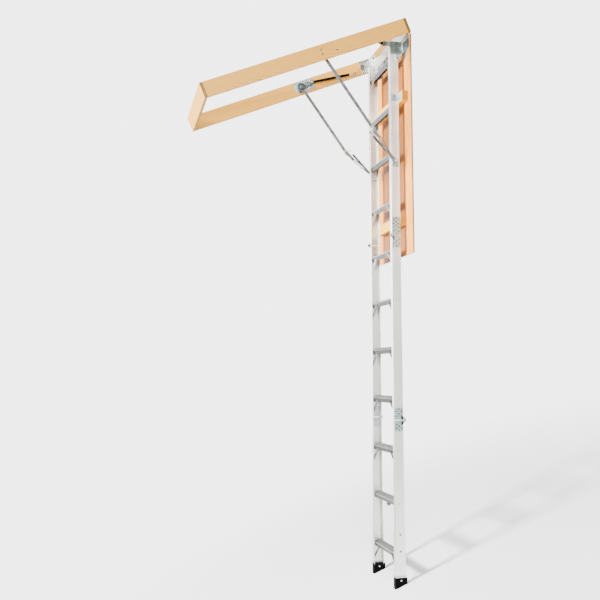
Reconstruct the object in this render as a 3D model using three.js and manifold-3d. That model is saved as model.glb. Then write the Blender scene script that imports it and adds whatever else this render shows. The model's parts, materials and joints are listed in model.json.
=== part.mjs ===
// Folding aluminium attic ladder: a pine ceiling frame, a thin plywood door hinged under its
// header, three aluminium ladder sections, two-piece support arms, gas struts and adjustable legs.
// Millimetres, +Z up. The origin is the centre of the outer face of the hinge header board.
// +X points out of the header, -X along the ceiling opening, -Y is the right side of the ladder.
import * as THREE from 'three';
import { mergeVertices } from 'three/addons/utils/BufferGeometryUtils.js';
import Module from 'manifold-3d';

const wasm = await Module();
wasm.setup();

// ---- Driving dimensions ----------------------------------------------------------------

const GAP = 0.3; // clearance between touching pieces

const FRAME_LENGTH = 1365;
const FRAME_WIDTH = 641;
const BOARD_HEIGHT = 93;
const BOARD_THICK = 19;
const FRAME_INNER_Y = FRAME_WIDTH / 2 - BOARD_THICK;

const LEAN = THREE.MathUtils.degToRad(67.3); // ladder to the floor
const LEVEL = Math.PI / 2 - LEAN; // turns the ladder's own axes back to level
const HINGE_X = -9.4;
const HINGE_Z = -50.5;
const FLOOR_Z = -3084;

const RAIL_DEPTH = 58;
const RAIL_FLANGE = 25;
const RAIL_WEB = 2.5;
const RAIL_LIP = 3;
const LADDER_HALF = 200; // half the width over the rails
const RAIL_FRONT = -92.5;
const RAIL_BACK = RAIL_FRONT + RAIL_DEPTH;
const RAIL_MID = (RAIL_FRONT + RAIL_BACK) / 2;

const UPPER_TOP = 28; // distances down the ladder from the hinge line
const FOLD_UPPER = 1237;
const FOLD_LOWER = 2354;
const RAIL_END = 3168;
const RAIL_CUT = 1; // half the saw gap between two sections

const TREAD_COUNT = 11;
const TREAD_FIRST = 122;
const TREAD_PITCH = 301;
const TREAD_DEPTH = 43;
const TREAD_FRONT_FALL = 30;
const TREAD_BACK_FALL = 24;
const TREAD_SHEET = 2.5;
const TREAD_SETBACK = RAIL_LIP + GAP;
const TREADS_WITHOUT_BRACES = [2, 3, 10];

const RING_TREAD = 10;
const RING = { y: 0, x: 14, drop: 34, radius: 13, wire: 1.8, room: 3.6, tab: 6, thick: 2 };

const BRACE = { reach: 88, top: 16, drop: 84, cut: 10, width: 12 }; // straps in the ladder's own plane

const DOOR_TOP = -2;
const DOOR_BOTTOM = 1359;
const DOOR_HALF_WIDTH = 312;
const DOOR_FACE = 4; // the door's ladder side, behind the hinge line
const DOOR_THICK = 6;
const BATTEN_HEIGHT = 63;
const UPPER_BATTEN = { centre: 374, halfWidth: 258 };
const LOWER_BATTEN = { centre: 1142, halfWidth: 205 };

const ZINC = 2.5; // thickness of the zinc-plated brackets
const PLATE_INNER = LADDER_HALF + 0.8; // plates clear the rails folded past them
const PLATE_OUTER = PLATE_INNER + ZINC;
const PIVOT_RADIUS = 4.5;
const PIVOT_HOLE = 5;
const FOLD_EAR = 11;
const FOLD_STANDOFF = 5.5; // from a rail's edge to its fold axis
const FOLD_PLATES = { upperTop: 1124, upperLow: 1312, lowerTop: 2281, lowerLow: 2419 };
const RIVET = { inset: 9, radius: 4, head: 1.6 };
const BOLT = { radius: 6.5, head: 4.5 };
const CORNER_PLATE = { length: 93, foot: 79, low: -42, high: 43, boltInset: 56, boltHeight: 24 };
const ARM_PLATE = { back: -612, front: -472, low: -33, high: 43, corner: 16 };
const BATTEN_PLATE = { half: 20, reach: 36, setback: 6 };
const HINGE_PLATE = {
  top: -13, backTop: -22, backEnd: -64, frontEnd: -95, stepX: -56, tipX: -44, tipEnd: -142, reach: 40,
};
const HINGE_LUG = { ahead: 12, z: -31, width: 34 };
const CLIP = { front: 22, back: 20, low: 34, high: 10, slopeX: 4, slopeHigh: 24, tip: 44 };

const LEG_TOP = 2997;
const LEG_BOTTOM = 3274;
const SHOE_TOP = 3264;
const SHOE_FRONT = RAIL_FRONT - 5.5;
const SHOE_BACK = RAIL_BACK + 10.5;
const SHOE_WALL = 2.4;
const SHOE_BLANK = 90; // uncut height of a shoe
const SHOE_BOLT_DROP = 14;

const ARM_PIVOT = new THREE.Vector2(-575, -3);
const KNEE = new THREE.Vector2(-453.5, -525);
const LINK_PIVOT = new THREE.Vector2(-368, -744.6);
const CRANK_PIN = new THREE.Vector2(-489, 9);
const STRUT_STUD = new THREE.Vector2(-172, -26);
const ARM_INNER = 266;
const ARM_THICK = 5;
const ARM_WIDTH = 20;
const ARM_HUB = 25;
const LINK_INNER = 255;
const LINK_THICK = 4.5;
const LINK_WIDTH = 18;
const STRUT_PLANE = 286;
const STRUT_RADIUS = 8.5;
const STRUT_BORE = 5.5;
const STRUT_ROD = 4;
const STRUT_MOUTH = 44; // from the stud to the open end of the cylinder
const STUD_END = FRAME_INNER_Y + 10; // the strut's stud runs in a blind hole in the side board

const ROUND = 20; // sides on a small round piece

// ---- Materials -------------------------------------------------------------------------

const pine = () => new THREE.MeshStandardMaterial({ color: 0xdebe91, roughness: 0.6, metalness: 0 });
const plywood = () => new THREE.MeshStandardMaterial({ color: 0xe6c3a0, roughness: 0.65, metalness: 0 });
const batten = () => new THREE.MeshStandardMaterial({ color: 0xfae1be, roughness: 0.6, metalness: 0 });
const aluminium = () => new THREE.MeshStandardMaterial({ color: 0xd1d2cd, roughness: 0.4, metalness: 0.9 });
const zinc = () => new THREE.MeshStandardMaterial({ color: 0xb4c0c0, roughness: 0.35, metalness: 0.9 });
const steel = () => new THREE.MeshStandardMaterial({ color: 0xa5a7a3, roughness: 0.4, metalness: 0.9 });
const black = () => new THREE.MeshStandardMaterial({ color: 0x141414, roughness: 0.5, metalness: 0 });
const rubber = () => new THREE.MeshStandardMaterial({ color: 0x0c0c0c, roughness: 0.7, metalness: 0 });

// ---- Shape helpers ---------------------------------------------------------------------

const sides = [{ side: 'right', sign: -1 }, { side: 'left', sign: 1 }];

function outline(points) {
  return new THREE.Shape(points.map(([x, y]) => new THREE.Vector2(x, y)));
}

// An outline drawn in X and Z, thick from low to high along Y.
function plateAcross(shape, low, high, curveSegments = ROUND) {
  const geometry = new THREE.ExtrudeGeometry(shape, { depth: high - low, bevelEnabled: false, curveSegments });
  return geometry.rotateX(Math.PI / 2).translate(0, high, 0);
}

// The same, kept at the distances inner and outer from the middle on the given side.
function sidePlate(shape, sign, inner, outer, curveSegments = ROUND) {
  return sign > 0
    ? plateAcross(shape, inner, outer, curveSegments)
    : plateAcross(shape, -outer, -inner, curveSegments);
}

// An outline drawn in Y and Z, thick from low to high along X.
function plateAlong(shape, low, high) {
  const settings = { depth: high - low, bevelEnabled: false, curveSegments: ROUND };
  const geometry = new THREE.ExtrudeGeometry(shape, settings);
  const turn = new THREE.Matrix4().makeBasis(
    new THREE.Vector3(0, 1, 0), new THREE.Vector3(0, 0, 1), new THREE.Vector3(1, 0, 0));
  return geometry.applyMatrix4(turn).translate(low, 0, 0);
}

// An outline drawn in X and Y, running down from top to bottom.
function columnDown(shape, top, bottom) {
  const settings = { depth: bottom - top, bevelEnabled: false, curveSegments: ROUND };
  const geometry = new THREE.ExtrudeGeometry(shape, settings);
  return geometry.translate(0, 0, -bottom);
}

function box(x0, x1, y0, y1, z0, z1) {
  const geometry = new THREE.BoxGeometry(x1 - x0, y1 - y0, z1 - z0);
  return geometry.translate((x0 + x1) / 2, (y0 + y1) / 2, (z0 + z1) / 2);
}

function sideBox(x0, x1, sign, inner, outer, z0, z1) {
  return sign > 0 ? box(x0, x1, inner, outer, z0, z1) : box(x0, x1, -outer, -inner, z0, z1);
}

function disc(centre, radius) {
  const shape = new THREE.Shape();
  shape.absarc(centre.x, centre.y, radius, 0, 2 * Math.PI, false);
  return shape;
}

function pinAcross(centre, radius, sign, inner, outer) {
  return sidePlate(disc(centre, radius), sign, inner, outer, ROUND / 2);
}

// A plate's outline with its four corners cut off.
function cornered(x0, x1, z0, z1, corner) {
  return outline([[x0, z0 + corner], [x0, z1 - corner], [x0 + corner, z1], [x1 - corner, z1],
    [x1, z1 - corner], [x1, z0 + corner], [x1 - corner, z0], [x0 + corner, z0]]);
}

// A flat bar between two points, with round ends.
function bar(from, to, width) {
  const angle = Math.atan2(to.y - from.y, to.x - from.x);
  const half = width / 2;
  const shape = new THREE.Shape();
  shape.absarc(from.x, from.y, half, angle + Math.PI / 2, angle + 1.5 * Math.PI, false);
  shape.absarc(to.x, to.y, half, angle - Math.PI / 2, angle + Math.PI / 2, false);
  return shape;
}

function hole(centre, radius) {
  const path = new THREE.Path();
  path.absarc(centre.x, centre.y, radius, 0, 2 * Math.PI, true);
  return path;
}

function toSolid(geometry) {
  const bare = geometry.clone();
  bare.deleteAttribute('normal');
  bare.deleteAttribute('uv');
  const merged = mergeVertices(bare, 1e-4);
  return new wasm.Manifold(new wasm.Mesh({
    numProp: 3,
    vertProperties: new Float32Array(merged.attributes.position.array),
    triVerts: new Uint32Array(merged.index.array),
  }));
}

function toGeometry(solid) {
  const mesh = solid.getMesh();
  const geometry = new THREE.BufferGeometry();
  geometry.setAttribute('position', new THREE.BufferAttribute(new Float32Array(mesh.vertProperties), 3));
  geometry.setIndex(new THREE.BufferAttribute(new Uint32Array(mesh.triVerts), 1));
  geometry.computeVertexNormals();
  return geometry;
}

function join(first, ...others) {
  return toGeometry(others.reduce((solid, other) => solid.add(toSolid(other)), toSolid(first)));
}

function cut(first, ...others) {
  return toGeometry(others.reduce((solid, other) => solid.subtract(toSolid(other)), toSolid(first)));
}

function piece(parent, name, geometry, material) {
  const mesh = new THREE.Mesh(geometry, material);
  mesh.name = name;
  parent.add(mesh);
  return mesh;
}

// ---- Ceiling frame ---------------------------------------------------------------------

function frameBoards(parent) {
  const half = BOARD_HEIGHT / 2;
  const inset = BOARD_THICK + GAP;
  const outer = FRAME_WIDTH / 2;
  for (const { side, sign } of sides) {
    const board = sideBox(inset - FRAME_LENGTH, -inset, sign, FRAME_INNER_Y, outer, -half, half);
    const studHole = pinAcross(STRUT_STUD, PIVOT_HOLE, sign, FRAME_INNER_Y - 1, STUD_END + 1);
    piece(parent, `frame_side_board_${side}`, cut(board, studHole), pine());
  }
  piece(parent, 'frame_header_board', box(-BOARD_THICK, 0, -outer, outer, -half, half), pine());
  piece(parent, 'frame_latch_board',
    box(-FRAME_LENGTH, BOARD_THICK - FRAME_LENGTH, -outer, outer, -half, half), pine());
}

// Angle bracket in the header corner, with a bolt head on its front leg.
function cornerBracket(parent, { side, sign }) {
  const { length, foot, low, high, boltInset, boltHeight } = CORNER_PLATE;
  const face = FRAME_INNER_Y - GAP;
  const front = -BOARD_THICK - GAP;
  const sideLeg = sideBox(front - length, front, sign, face - ZINC, face, low, high);
  const frontLeg = sideBox(front - ZINC, front, sign, face - foot, face, low, high);
  const head = plateAlong(disc(new THREE.Vector2(sign * (face - boltInset), boltHeight), BOLT.radius),
    front - ZINC - BOLT.head, front - ZINC / 2);
  piece(parent, `corner_bracket_${side}`, join(sideLeg, frontLeg, head), zinc());
}

// Plate on the side board, with the pin that the upper arm turns on.
function armBracket(parent, { side, sign }) {
  const face = FRAME_INNER_Y - GAP;
  const inside = face - ZINC / 2;
  const plate = cornered(ARM_PLATE.back, ARM_PLATE.front, ARM_PLATE.low, ARM_PLATE.high, ARM_PLATE.corner);
  const boss = pinAcross(ARM_PIVOT, 2 * PIVOT_HOLE, sign, ARM_INNER + ARM_THICK + 1, inside);
  const pin = pinAcross(ARM_PIVOT, PIVOT_RADIUS, sign, ARM_INNER - 4, inside);
  piece(parent, `arm_bracket_${side}`, join(sidePlate(plate, sign, face - ZINC, face), boss, pin), zinc());
}

const PIANO = { half: 290, knuckles: 10, radius: 3.5, pin: 1.6, hole: 1.9, sheet: 1.2, leaf: 12, room: 4.5 };
const HEADER_FLANGE = { half: 221, top: 4 }; // the header leaf's turned-up part, between the corner brackets

function knuckleSpan(index) {
  const pitch = 2 * PIANO.half / PIANO.knuckles;
  return [index * pitch - PIANO.half + GAP / 2, (index + 1) * pitch - PIANO.half - GAP / 2];
}

// Every other knuckle of the piano hinge, on the hinge line.
function knuckles(first, shape) {
  const pieces = [];
  for (let i = first; i < PIANO.knuckles; i += 2) {
    pieces.push(plateAcross(shape, ...knuckleSpan(i), 6));
  }
  return pieces;
}

// One leaf's sheet, notched where the other leaf's knuckles turn.
function notchedLeaf(leaf, first) {
  const rooms = [];
  for (let i = first; i < PIANO.knuckles; i += 2) {
    const [low, high] = knuckleSpan(i);
    rooms.push(box(-PIANO.room, PIANO.room, low - GAP, high + GAP, -PIANO.room, PIANO.room));
  }
  return cut(leaf, ...rooms);
}

function headerLeaf(parent) {
  const top = -BOARD_HEIGHT / 2 - GAP - HINGE_Z;
  const face = -BOARD_THICK - GAP - HINGE_X;
  const leaf = box(face - PIANO.sheet, 0, -PIANO.half, PIANO.half, top - PIANO.sheet, top);
  const flange = box(face - PIANO.sheet, face, -HEADER_FLANGE.half, HEADER_FLANGE.half, top - PIANO.sheet,
    HEADER_FLANGE.top - HINGE_Z);
  const centre = new THREE.Vector2(0, 0);
  const pin = plateAcross(disc(centre, PIANO.pin), -PIANO.half, PIANO.half, 6);
  const solid = join(notchedLeaf(leaf, 1), flange, ...knuckles(0, disc(centre, PIANO.radius)), pin);
  piece(parent, 'hinge_leaf_header', solid, zinc()).position.set(HINGE_X, 0, HINGE_Z);
}

// ---- Door ------------------------------------------------------------------------------

// The ladder group's own axes: X towards the door side, Z up the ladder, hinge line at 0.
function doorPieces(ladder) {
  piece(ladder, 'door_panel', box(DOOR_FACE, DOOR_FACE + DOOR_THICK, -DOOR_HALF_WIDTH, DOOR_HALF_WIDTH,
    -DOOR_BOTTOM, -DOOR_TOP), plywood());
  const battens = { upper: UPPER_BATTEN, lower: LOWER_BATTEN };
  for (const [name, { centre, halfWidth }] of Object.entries(battens)) {
    piece(ladder, `door_batten_${name}`, box(RAIL_BACK + GAP, DOOR_FACE - GAP, -halfWidth, halfWidth,
      -centre - BATTEN_HEIGHT / 2, -centre + BATTEN_HEIGHT / 2), batten());
  }
  const face = DOOR_FACE - GAP;
  const leaf = box(face - PIANO.sheet, face, -PIANO.half, PIANO.half, -PIANO.leaf, 0);
  const tube = disc(new THREE.Vector2(0, 0), PIANO.radius);
  tube.holes.push(hole(new THREE.Vector2(0, 0), PIANO.hole));
  piece(ladder, 'hinge_leaf_door', join(notchedLeaf(leaf, 0), ...knuckles(1, tube)), zinc());
}

// Angle that ties the rail to the upper batten.
function battenBracket(ladder, { side, sign }) {
  const { half, reach, setback } = BATTEN_PLATE;
  const low = -UPPER_BATTEN.centre - half;
  const high = -UPPER_BATTEN.centre + half;
  const web = sideBox(RAIL_FRONT + setback, RAIL_BACK, sign, PLATE_INNER, PLATE_OUTER, low, high);
  const foot = sideBox(RAIL_BACK - ZINC, RAIL_BACK, sign, PLATE_INNER, PLATE_OUTER + reach, low, high);
  const bolt = plateBolt(new THREE.Vector2(RAIL_MID, -UPPER_BATTEN.centre), sign);
  piece(ladder, `batten_bracket_${side}`, join(web, foot, bolt), zinc());
}

// Bolt head standing out of a plate that lies against a rail.
function plateBolt(centre, sign) {
  return pinAcross(centre, BOLT.radius, sign, PLATE_OUTER - 1, PLATE_OUTER + BOLT.head);
}

// Zinc plate that ties the top of the rail to the door, with a round lug in front.
function hingePlate(ladder, { side, sign }) {
  const { top, backTop, backEnd, frontEnd, stepX, tipX, tipEnd, reach } = HINGE_PLATE;
  const [front, back] = [RAIL_FRONT + 3, DOOR_FACE - GAP];
  const web = outline([[front, top], [back / 2 - 10, top], [back, backTop], [back, backEnd], [tipX, tipEnd],
    [stepX, frontEnd], [front, frontEnd]]);
  const lugEnd = new THREE.Vector2(RAIL_FRONT - HINGE_LUG.ahead, HINGE_LUG.z);
  const lug = bar(lugEnd, new THREE.Vector2(RAIL_MID, HINGE_LUG.z), HINGE_LUG.width);
  const foot = sideBox(back - ZINC, back, sign, PLATE_INNER, PLATE_OUTER + reach, backEnd + 2, backTop - 2);
  piece(ladder, `hinge_plate_${side}`, join(sidePlate(web, sign, PLATE_INNER, PLATE_OUTER),
    sidePlate(lug, sign, PLATE_INNER, PLATE_OUTER), foot, plateBolt(lugEnd, sign)), zinc());
}

// ---- Ladder sections -------------------------------------------------------------------

// C-channel with its web outside and its flanges turned in towards the treads.
function channel(sign, front, back, outer, web, lip, flange) {
  const points = [[front, outer], [back, outer], [back, outer - flange], [back - lip, outer - flange],
    [back - lip, outer - web], [front + lip, outer - web], [front + lip, outer - flange], [front, outer - flange]];
  return outline(points.map(([x, y]) => [x, sign * y]));
}

function rails(ladder, section, top, bottom) {
  for (const { side, sign } of sides) {
    const shape = channel(sign, RAIL_FRONT, RAIL_BACK, LADDER_HALF, RAIL_WEB, RAIL_LIP, RAIL_FLANGE);
    piece(ladder, `${section}_rail_${side}`, columnDown(shape, top, bottom), aluminium());
  }
}

// Strap from the tread's front flange out and down to the rail's web.
function brace(sign) {
  const outer = LADDER_HALF - RAIL_WEB - GAP;
  const inner = outer - BRACE.reach;
  const shape = outline([[sign * inner, -BRACE.top], [sign * (inner + BRACE.cut), -BRACE.top],
    [sign * outer, -BRACE.drop], [sign * outer, -BRACE.drop - BRACE.cut]]);
  return plateAlong(shape, 0, BRACE.width).rotateY(LEVEL);
}

// A tread is a sheet channel with its flanges down, level when the ladder leans.
function tread(ladder, number) {
  const half = LADDER_HALF - RAIL_WEB - GAP;
  const channelShape = outline([[0, 0], [0, -TREAD_FRONT_FALL], [TREAD_SHEET, -TREAD_FRONT_FALL],
    [TREAD_SHEET, -TREAD_SHEET], [TREAD_DEPTH - TREAD_SHEET, -TREAD_SHEET],
    [TREAD_DEPTH - TREAD_SHEET, -TREAD_BACK_FALL], [TREAD_DEPTH, -TREAD_BACK_FALL], [TREAD_DEPTH, 0]]);
  const pieces = [plateAcross(channelShape, -half, half)];
  if (!TREADS_WITHOUT_BRACES.includes(number)) {
    pieces.push(brace(1), brace(-1));
  }
  if (number === RING_TREAD) {
    pieces.push(ringEye());
  }
  const level = new THREE.Group();
  level.position.set(RAIL_FRONT + TREAD_SETBACK, 0, -(TREAD_FIRST + (number - 1) * TREAD_PITCH));
  level.rotation.y = -LEVEL;
  ladder.add(level);
  const solid = pieces.length > 1 ? join(...pieces) : pieces[0];
  piece(level, `tread_${String(number).padStart(2, '0')}`, solid, aluminium());
  return level;
}

// Small tab under the tread that the ring hangs in.
function ringEye() {
  const { y, x, drop, room, tab, thick } = RING;
  const bottom = -drop - tab;
  const shape = outline([[y - tab - 2, -1], [y - tab, bottom], [y + tab, bottom], [y + tab + 2, -1]]);
  shape.holes.push(hole(new THREE.Vector2(y, -drop), room));
  return plateAlong(shape, x - thick / 2, x + thick / 2);
}

// Wire ring that hangs through the tab's hole.
function ring(level) {
  const profile = new THREE.Path().absarc(RING.radius, 0, RING.wire, 0, 2 * Math.PI, false);
  const geometry = new THREE.LatheGeometry(profile.getPoints(8), 24);
  piece(level, 'tread_ring', geometry.translate(RING.x, RING.y, -RING.drop - RING.radius), steel());
}

// ---- Fold hinges -----------------------------------------------------------------------

// Flat plate over a rail from one height to another, with its far corners cut off.
function endPlate(front, back, near, far, corner) {
  const away = Math.sign(far - near);
  return outline([[front, near], [front, far - away * corner], [front + corner, far],
    [back - corner, far], [back, far - away * corner], [back, near]]);
}

// Rivet heads near the plate's corners, standing out from the given face.
function rivets(sign, face, front, back, near, far) {
  const away = Math.sign(far - near);
  const heads = [];
  for (const x of [front + RIVET.inset, back - RIVET.inset]) {
    for (const z of [near + away * RIVET.inset, far - away * RIVET.inset]) {
      heads.push(sidePlate(disc(new THREE.Vector2(x, z), RIVET.radius), sign, face - 1, face + RIVET.head, 4));
    }
  }
  return heads;
}

// The upper section's plate: it covers the rail's end and has an ear with the pivot hole.
function fixedFoldPlate(ladder, name, sign, axis, far) {
  const away = Math.sign(far - axis.y);
  const [front, back] = [RAIL_FRONT + 2, RAIL_BACK - 2];
  const face = endPlate(front, back, axis.y + 3 * away, far, 8);
  const ear = disc(axis, FOLD_EAR);
  const bore = pinAcross(axis, PIVOT_HOLE, sign, PLATE_INNER - 2, PLATE_OUTER + 2);
  const heads = rivets(sign, PLATE_OUTER, front, back, axis.y + 14 * away, far);
  const solid = join(sidePlate(face, sign, PLATE_INNER, PLATE_OUTER),
    sidePlate(ear, sign, PLATE_INNER, PLATE_OUTER), ...heads);
  piece(ladder, name, cut(solid, bore), zinc());
}

// The lower section's plate: one layer further out on a pad, with the pivot pin.
function movingFoldPlate(ladder, name, sign, axis, far) {
  const away = Math.sign(far - axis.y);
  const layer = PLATE_OUTER + GAP;
  const outer = layer + ZINC;
  const [front, back] = [RAIL_FRONT + 3, RAIL_BACK - 3];
  const start = axis.y + away * (FOLD_EAR + 6);
  const face = endPlate(front, back, axis.y + 5 * away, far, 6);
  const pad = endPlate(front + 2, back - 2, start, far, 6);
  const pin = pinAcross(axis, PIVOT_RADIUS, sign, PLATE_INNER - 3, outer + 3);
  const heads = rivets(sign, outer, front, back, start, far);
  const sheet = sidePlate(face, sign, layer, outer);
  const ear = sidePlate(disc(axis, FOLD_EAR - 1), sign, layer, outer);
  const spacer = sidePlate(pad, sign, PLATE_INNER - GAP, layer + 1);
  piece(ladder, name, join(sheet, ear, spacer, pin, ...heads), zinc());
}

function foldPlates(ladder) {
  const upperAxis = new THREE.Vector2(RAIL_FRONT - FOLD_STANDOFF, -FOLD_UPPER);
  const lowerAxis = new THREE.Vector2(RAIL_BACK + FOLD_STANDOFF, -FOLD_LOWER);
  for (const { side, sign } of sides) {
    fixedFoldPlate(ladder, `fold_upper_plate_top_${side}`, sign, upperAxis, -FOLD_PLATES.upperTop);
    movingFoldPlate(ladder, `fold_upper_plate_low_${side}`, sign, upperAxis, -FOLD_PLATES.upperLow);
    fixedFoldPlate(ladder, `fold_lower_plate_top_${side}`, sign, lowerAxis, -FOLD_PLATES.lowerTop);
    movingFoldPlate(ladder, `fold_lower_plate_low_${side}`, sign, lowerAxis, -FOLD_PLATES.lowerLow);
  }
}

// ---- Feet ------------------------------------------------------------------------------

const LEG = { clear: 0.4, sheet: 2.2, flange: 30 };

// Outer channel that slides on the end of the bottom rail.
function leg(ladder, { side, sign }) {
  const wall = LEG.clear + LEG.sheet;
  const outer = LADDER_HALF + wall;
  const shape = channel(sign, RAIL_FRONT - wall, RAIL_BACK + wall, outer, LEG.sheet, LEG.sheet, LEG.flange);
  piece(ladder, `leg_${side}`, columnDown(shape, LEG_TOP, LEG_BOTTOM), aluminium());
}

// Black boot round the end of the leg, cut level with the floor.
function shoe(ladder, { side, sign }) {
  const wall = LEG.clear + LEG.sheet;
  const inner = LADDER_HALF - LEG.flange;
  const outer = LADDER_HALF + wall + SHOE_WALL + GAP;
  const body = sideBox(SHOE_FRONT, SHOE_BACK, sign, inner, outer, -SHOE_TOP - SHOE_BLANK, -SHOE_TOP);
  const room = LEG.clear;
  const thick = LEG.sheet + 2 * room;
  const pocket = columnDown(channel(sign, RAIL_FRONT - wall - room, RAIL_BACK + wall + room,
    LADDER_HALF + wall + room, thick, thick, LEG.flange + room + 4), SHOE_TOP - 1, LEG_BOTTOM + GAP);
  const boltPlace = new THREE.Vector2(RAIL_MID, -SHOE_TOP - SHOE_BOLT_DROP);
  const bolt = pinAcross(boltPlace, BOLT.radius, sign, outer - 1, outer + 3);
  const solid = cut(join(body, bolt), pocket);
  const frame = new THREE.Matrix4().makeRotationY(LEVEL).setPosition(HINGE_X, 0, HINGE_Z);
  solid.applyMatrix4(frame);
  const floor = box(FLOOR_Z, 0, -FRAME_WIDTH, FRAME_WIDTH, FLOOR_Z - SHOE_BLANK, FLOOR_Z);
  const level = cut(solid, floor).applyMatrix4(frame.clone().invert());
  piece(ladder, `shoe_${side}`, level, rubber());
}

// ---- Arms and gas struts ---------------------------------------------------------------

const SLEEVE = { half: 16, wall: 2.4, room: 0.4 };
const LINK = { kneeEnd: 12, bendStart: 60, bendEnd: 40, railEnd: 12, slotInset: 64, slotHalf: 3 };

function alongArm(distance) {
  return KNEE.clone().sub(ARM_PIVOT).normalize().multiplyScalar(distance).add(ARM_PIVOT);
}

// Upper arm: a long bar with a hub, and a short crank that the gas strut pushes.
function upperArm(parent, { side, sign }) {
  const outer = ARM_INNER + ARM_THICK;
  const end = alongArm(KNEE.distanceTo(ARM_PIVOT) + 8);
  const crank = bar(ARM_PIVOT, CRANK_PIN, ARM_WIDTH + 2);
  const solid = join(sidePlate(bar(ARM_PIVOT, end, ARM_WIDTH), sign, ARM_INNER, outer),
    sidePlate(crank, sign, ARM_INNER, outer), sidePlate(disc(ARM_PIVOT, ARM_HUB), sign, ARM_INNER, outer));
  const bore = pinAcross(ARM_PIVOT, PIVOT_HOLE, sign, ARM_INNER - 1, outer + 1);
  piece(parent, `upper_arm_${side}`, cut(solid, bore), steel());
}

// Clip round the bar that runs up it as the door closes.
function sleeve(parent, { side, sign }) {
  const centre = alongArm(KNEE.distanceTo(ARM_PIVOT) - 8);
  const angle = Math.atan2(KNEE.y - ARM_PIVOT.y, KNEE.x - ARM_PIVOT.x);
  const half = ARM_WIDTH / 2 + SLEEVE.room;
  const inner = ARM_INNER - SLEEVE.room;
  const outer = ARM_INNER + ARM_THICK + SLEEVE.room;
  const shell = sideBox(-SLEEVE.half, SLEEVE.half, sign, inner - SLEEVE.wall, outer + SLEEVE.wall,
    -half - SLEEVE.wall, half + SLEEVE.wall);
  const bore = sideBox(-2 * SLEEVE.half, 2 * SLEEVE.half, sign, inner, outer, -half, half);
  const tube = cut(shell, bore).rotateY(-angle).translate(centre.x, 0, centre.y);
  piece(parent, `arm_sleeve_${side}`, tube, zinc());
}

// Lower link: a slotted bar from the knee in to the clip on the rail.
function lowerLink(parent, { side, sign }) {
  const { kneeEnd, bendStart, bendEnd, railEnd, slotInset, slotHalf } = LINK;
  const angle = Math.atan2(LINK_PIVOT.y - KNEE.y, LINK_PIVOT.x - KNEE.x);
  const length = KNEE.distanceTo(LINK_PIVOT);
  const railPlane = PLATE_OUTER + GAP;
  const inside = [[-kneeEnd, LINK_INNER], [bendStart, LINK_INNER], [length - bendEnd, railPlane],
    [length + railEnd, railPlane]];
  const outside = inside.map(([x, y]) => [x, y + LINK_THICK]).reverse();
  const shape = outline([...inside, ...outside].map(([x, y]) => [x, sign * y]));
  const strip = new THREE.ExtrudeGeometry(shape, { depth: LINK_WIDTH, bevelEnabled: false })
    .translate(0, 0, -LINK_WIDTH / 2);
  const slot = box(slotInset, length - slotInset, -FRAME_WIDTH, FRAME_WIDTH, -slotHalf, slotHalf);
  const bore = plateAcross(disc(new THREE.Vector2(length, 0), PIVOT_HOLE), -FRAME_WIDTH, FRAME_WIDTH, ROUND / 2);
  const solid = cut(strip, slot, bore).rotateY(-angle).translate(KNEE.x, 0, KNEE.y);
  piece(parent, `lower_link_${side}`, solid, steel());
}

// Clip riveted to the rail, with the stud that the lower link turns on.
function railClip(ladder, { side, sign }) {
  const centre = toLadder(LINK_PIVOT);
  const edge = [[-CLIP.front, -CLIP.low], [CLIP.back, -CLIP.low], [CLIP.back, CLIP.high],
    [CLIP.slopeX, CLIP.slopeHigh], [-CLIP.front, CLIP.tip]];
  const plate = outline(edge.map(([x, z]) => [centre.x + x, centre.y + z]));
  const stud = pinAcross(centre, PIVOT_RADIUS, sign, LADDER_HALF + 2 * GAP, PLATE_OUTER + LINK_THICK + 4);
  piece(ladder, `rail_clip_${side}`, join(sidePlate(plate, sign, LADDER_HALF + GAP, PLATE_OUTER), stud), zinc());
}

function toLadder(point) {
  const x = point.x - HINGE_X;
  const z = point.y - HINGE_Z;
  return new THREE.Vector2(x * Math.cos(LEVEL) - z * Math.sin(LEVEL), x * Math.sin(LEVEL) + z * Math.cos(LEVEL));
}

// Turns a strut piece, made along Y from the stud, to where the strut lies.
function layStrut(geometry, sign) {
  const angle = Math.atan2(CRANK_PIN.y - STRUT_STUD.y, CRANK_PIN.x - STRUT_STUD.x);
  return geometry.rotateZ(-Math.PI / 2).rotateY(-angle)
    .translate(STRUT_STUD.x, sign * STRUT_PLANE, STRUT_STUD.y);
}

function turned(profile) {
  return new THREE.LatheGeometry(profile.map(([radius, height]) => new THREE.Vector2(radius, height)), ROUND);
}

// Gas strut: a black cylinder on the crank side, and a bright rod with an eye and its stud.
function gasStrut(parent, { side, sign }) {
  const end = CRANK_PIN.distanceTo(STRUT_STUD);
  const bottom = end - 12;
  const inside = [[0, bottom], [STRUT_BORE, bottom], [STRUT_BORE, STRUT_MOUTH]];
  const outside = [[STRUT_RADIUS - 1.5, STRUT_MOUTH], [STRUT_RADIUS, STRUT_MOUTH + 4],
    [STRUT_RADIUS, end - 4], [STRUT_RADIUS - 2, end], [0, end]];
  const tube = turned([...inside, ...outside]);
  piece(parent, `strut_cylinder_${side}`, layStrut(tube, sign), black());

  const rod = turned([[0, 4], [STRUT_ROD, 4], [STRUT_ROD, bottom - 8], [0, bottom - 8]]);
  const eye = pinAcross(STRUT_STUD, 2 * PIVOT_RADIUS, sign, STRUT_PLANE - STRUT_ROD, STRUT_PLANE + STRUT_ROD);
  const stud = pinAcross(STRUT_STUD, PIVOT_RADIUS, sign, STRUT_PLANE, STUD_END);
  piece(parent, `strut_rod_${side}`, join(layStrut(rod, sign), eye, stud), steel());
}

// ---- Assembly --------------------------------------------------------------------------

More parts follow.
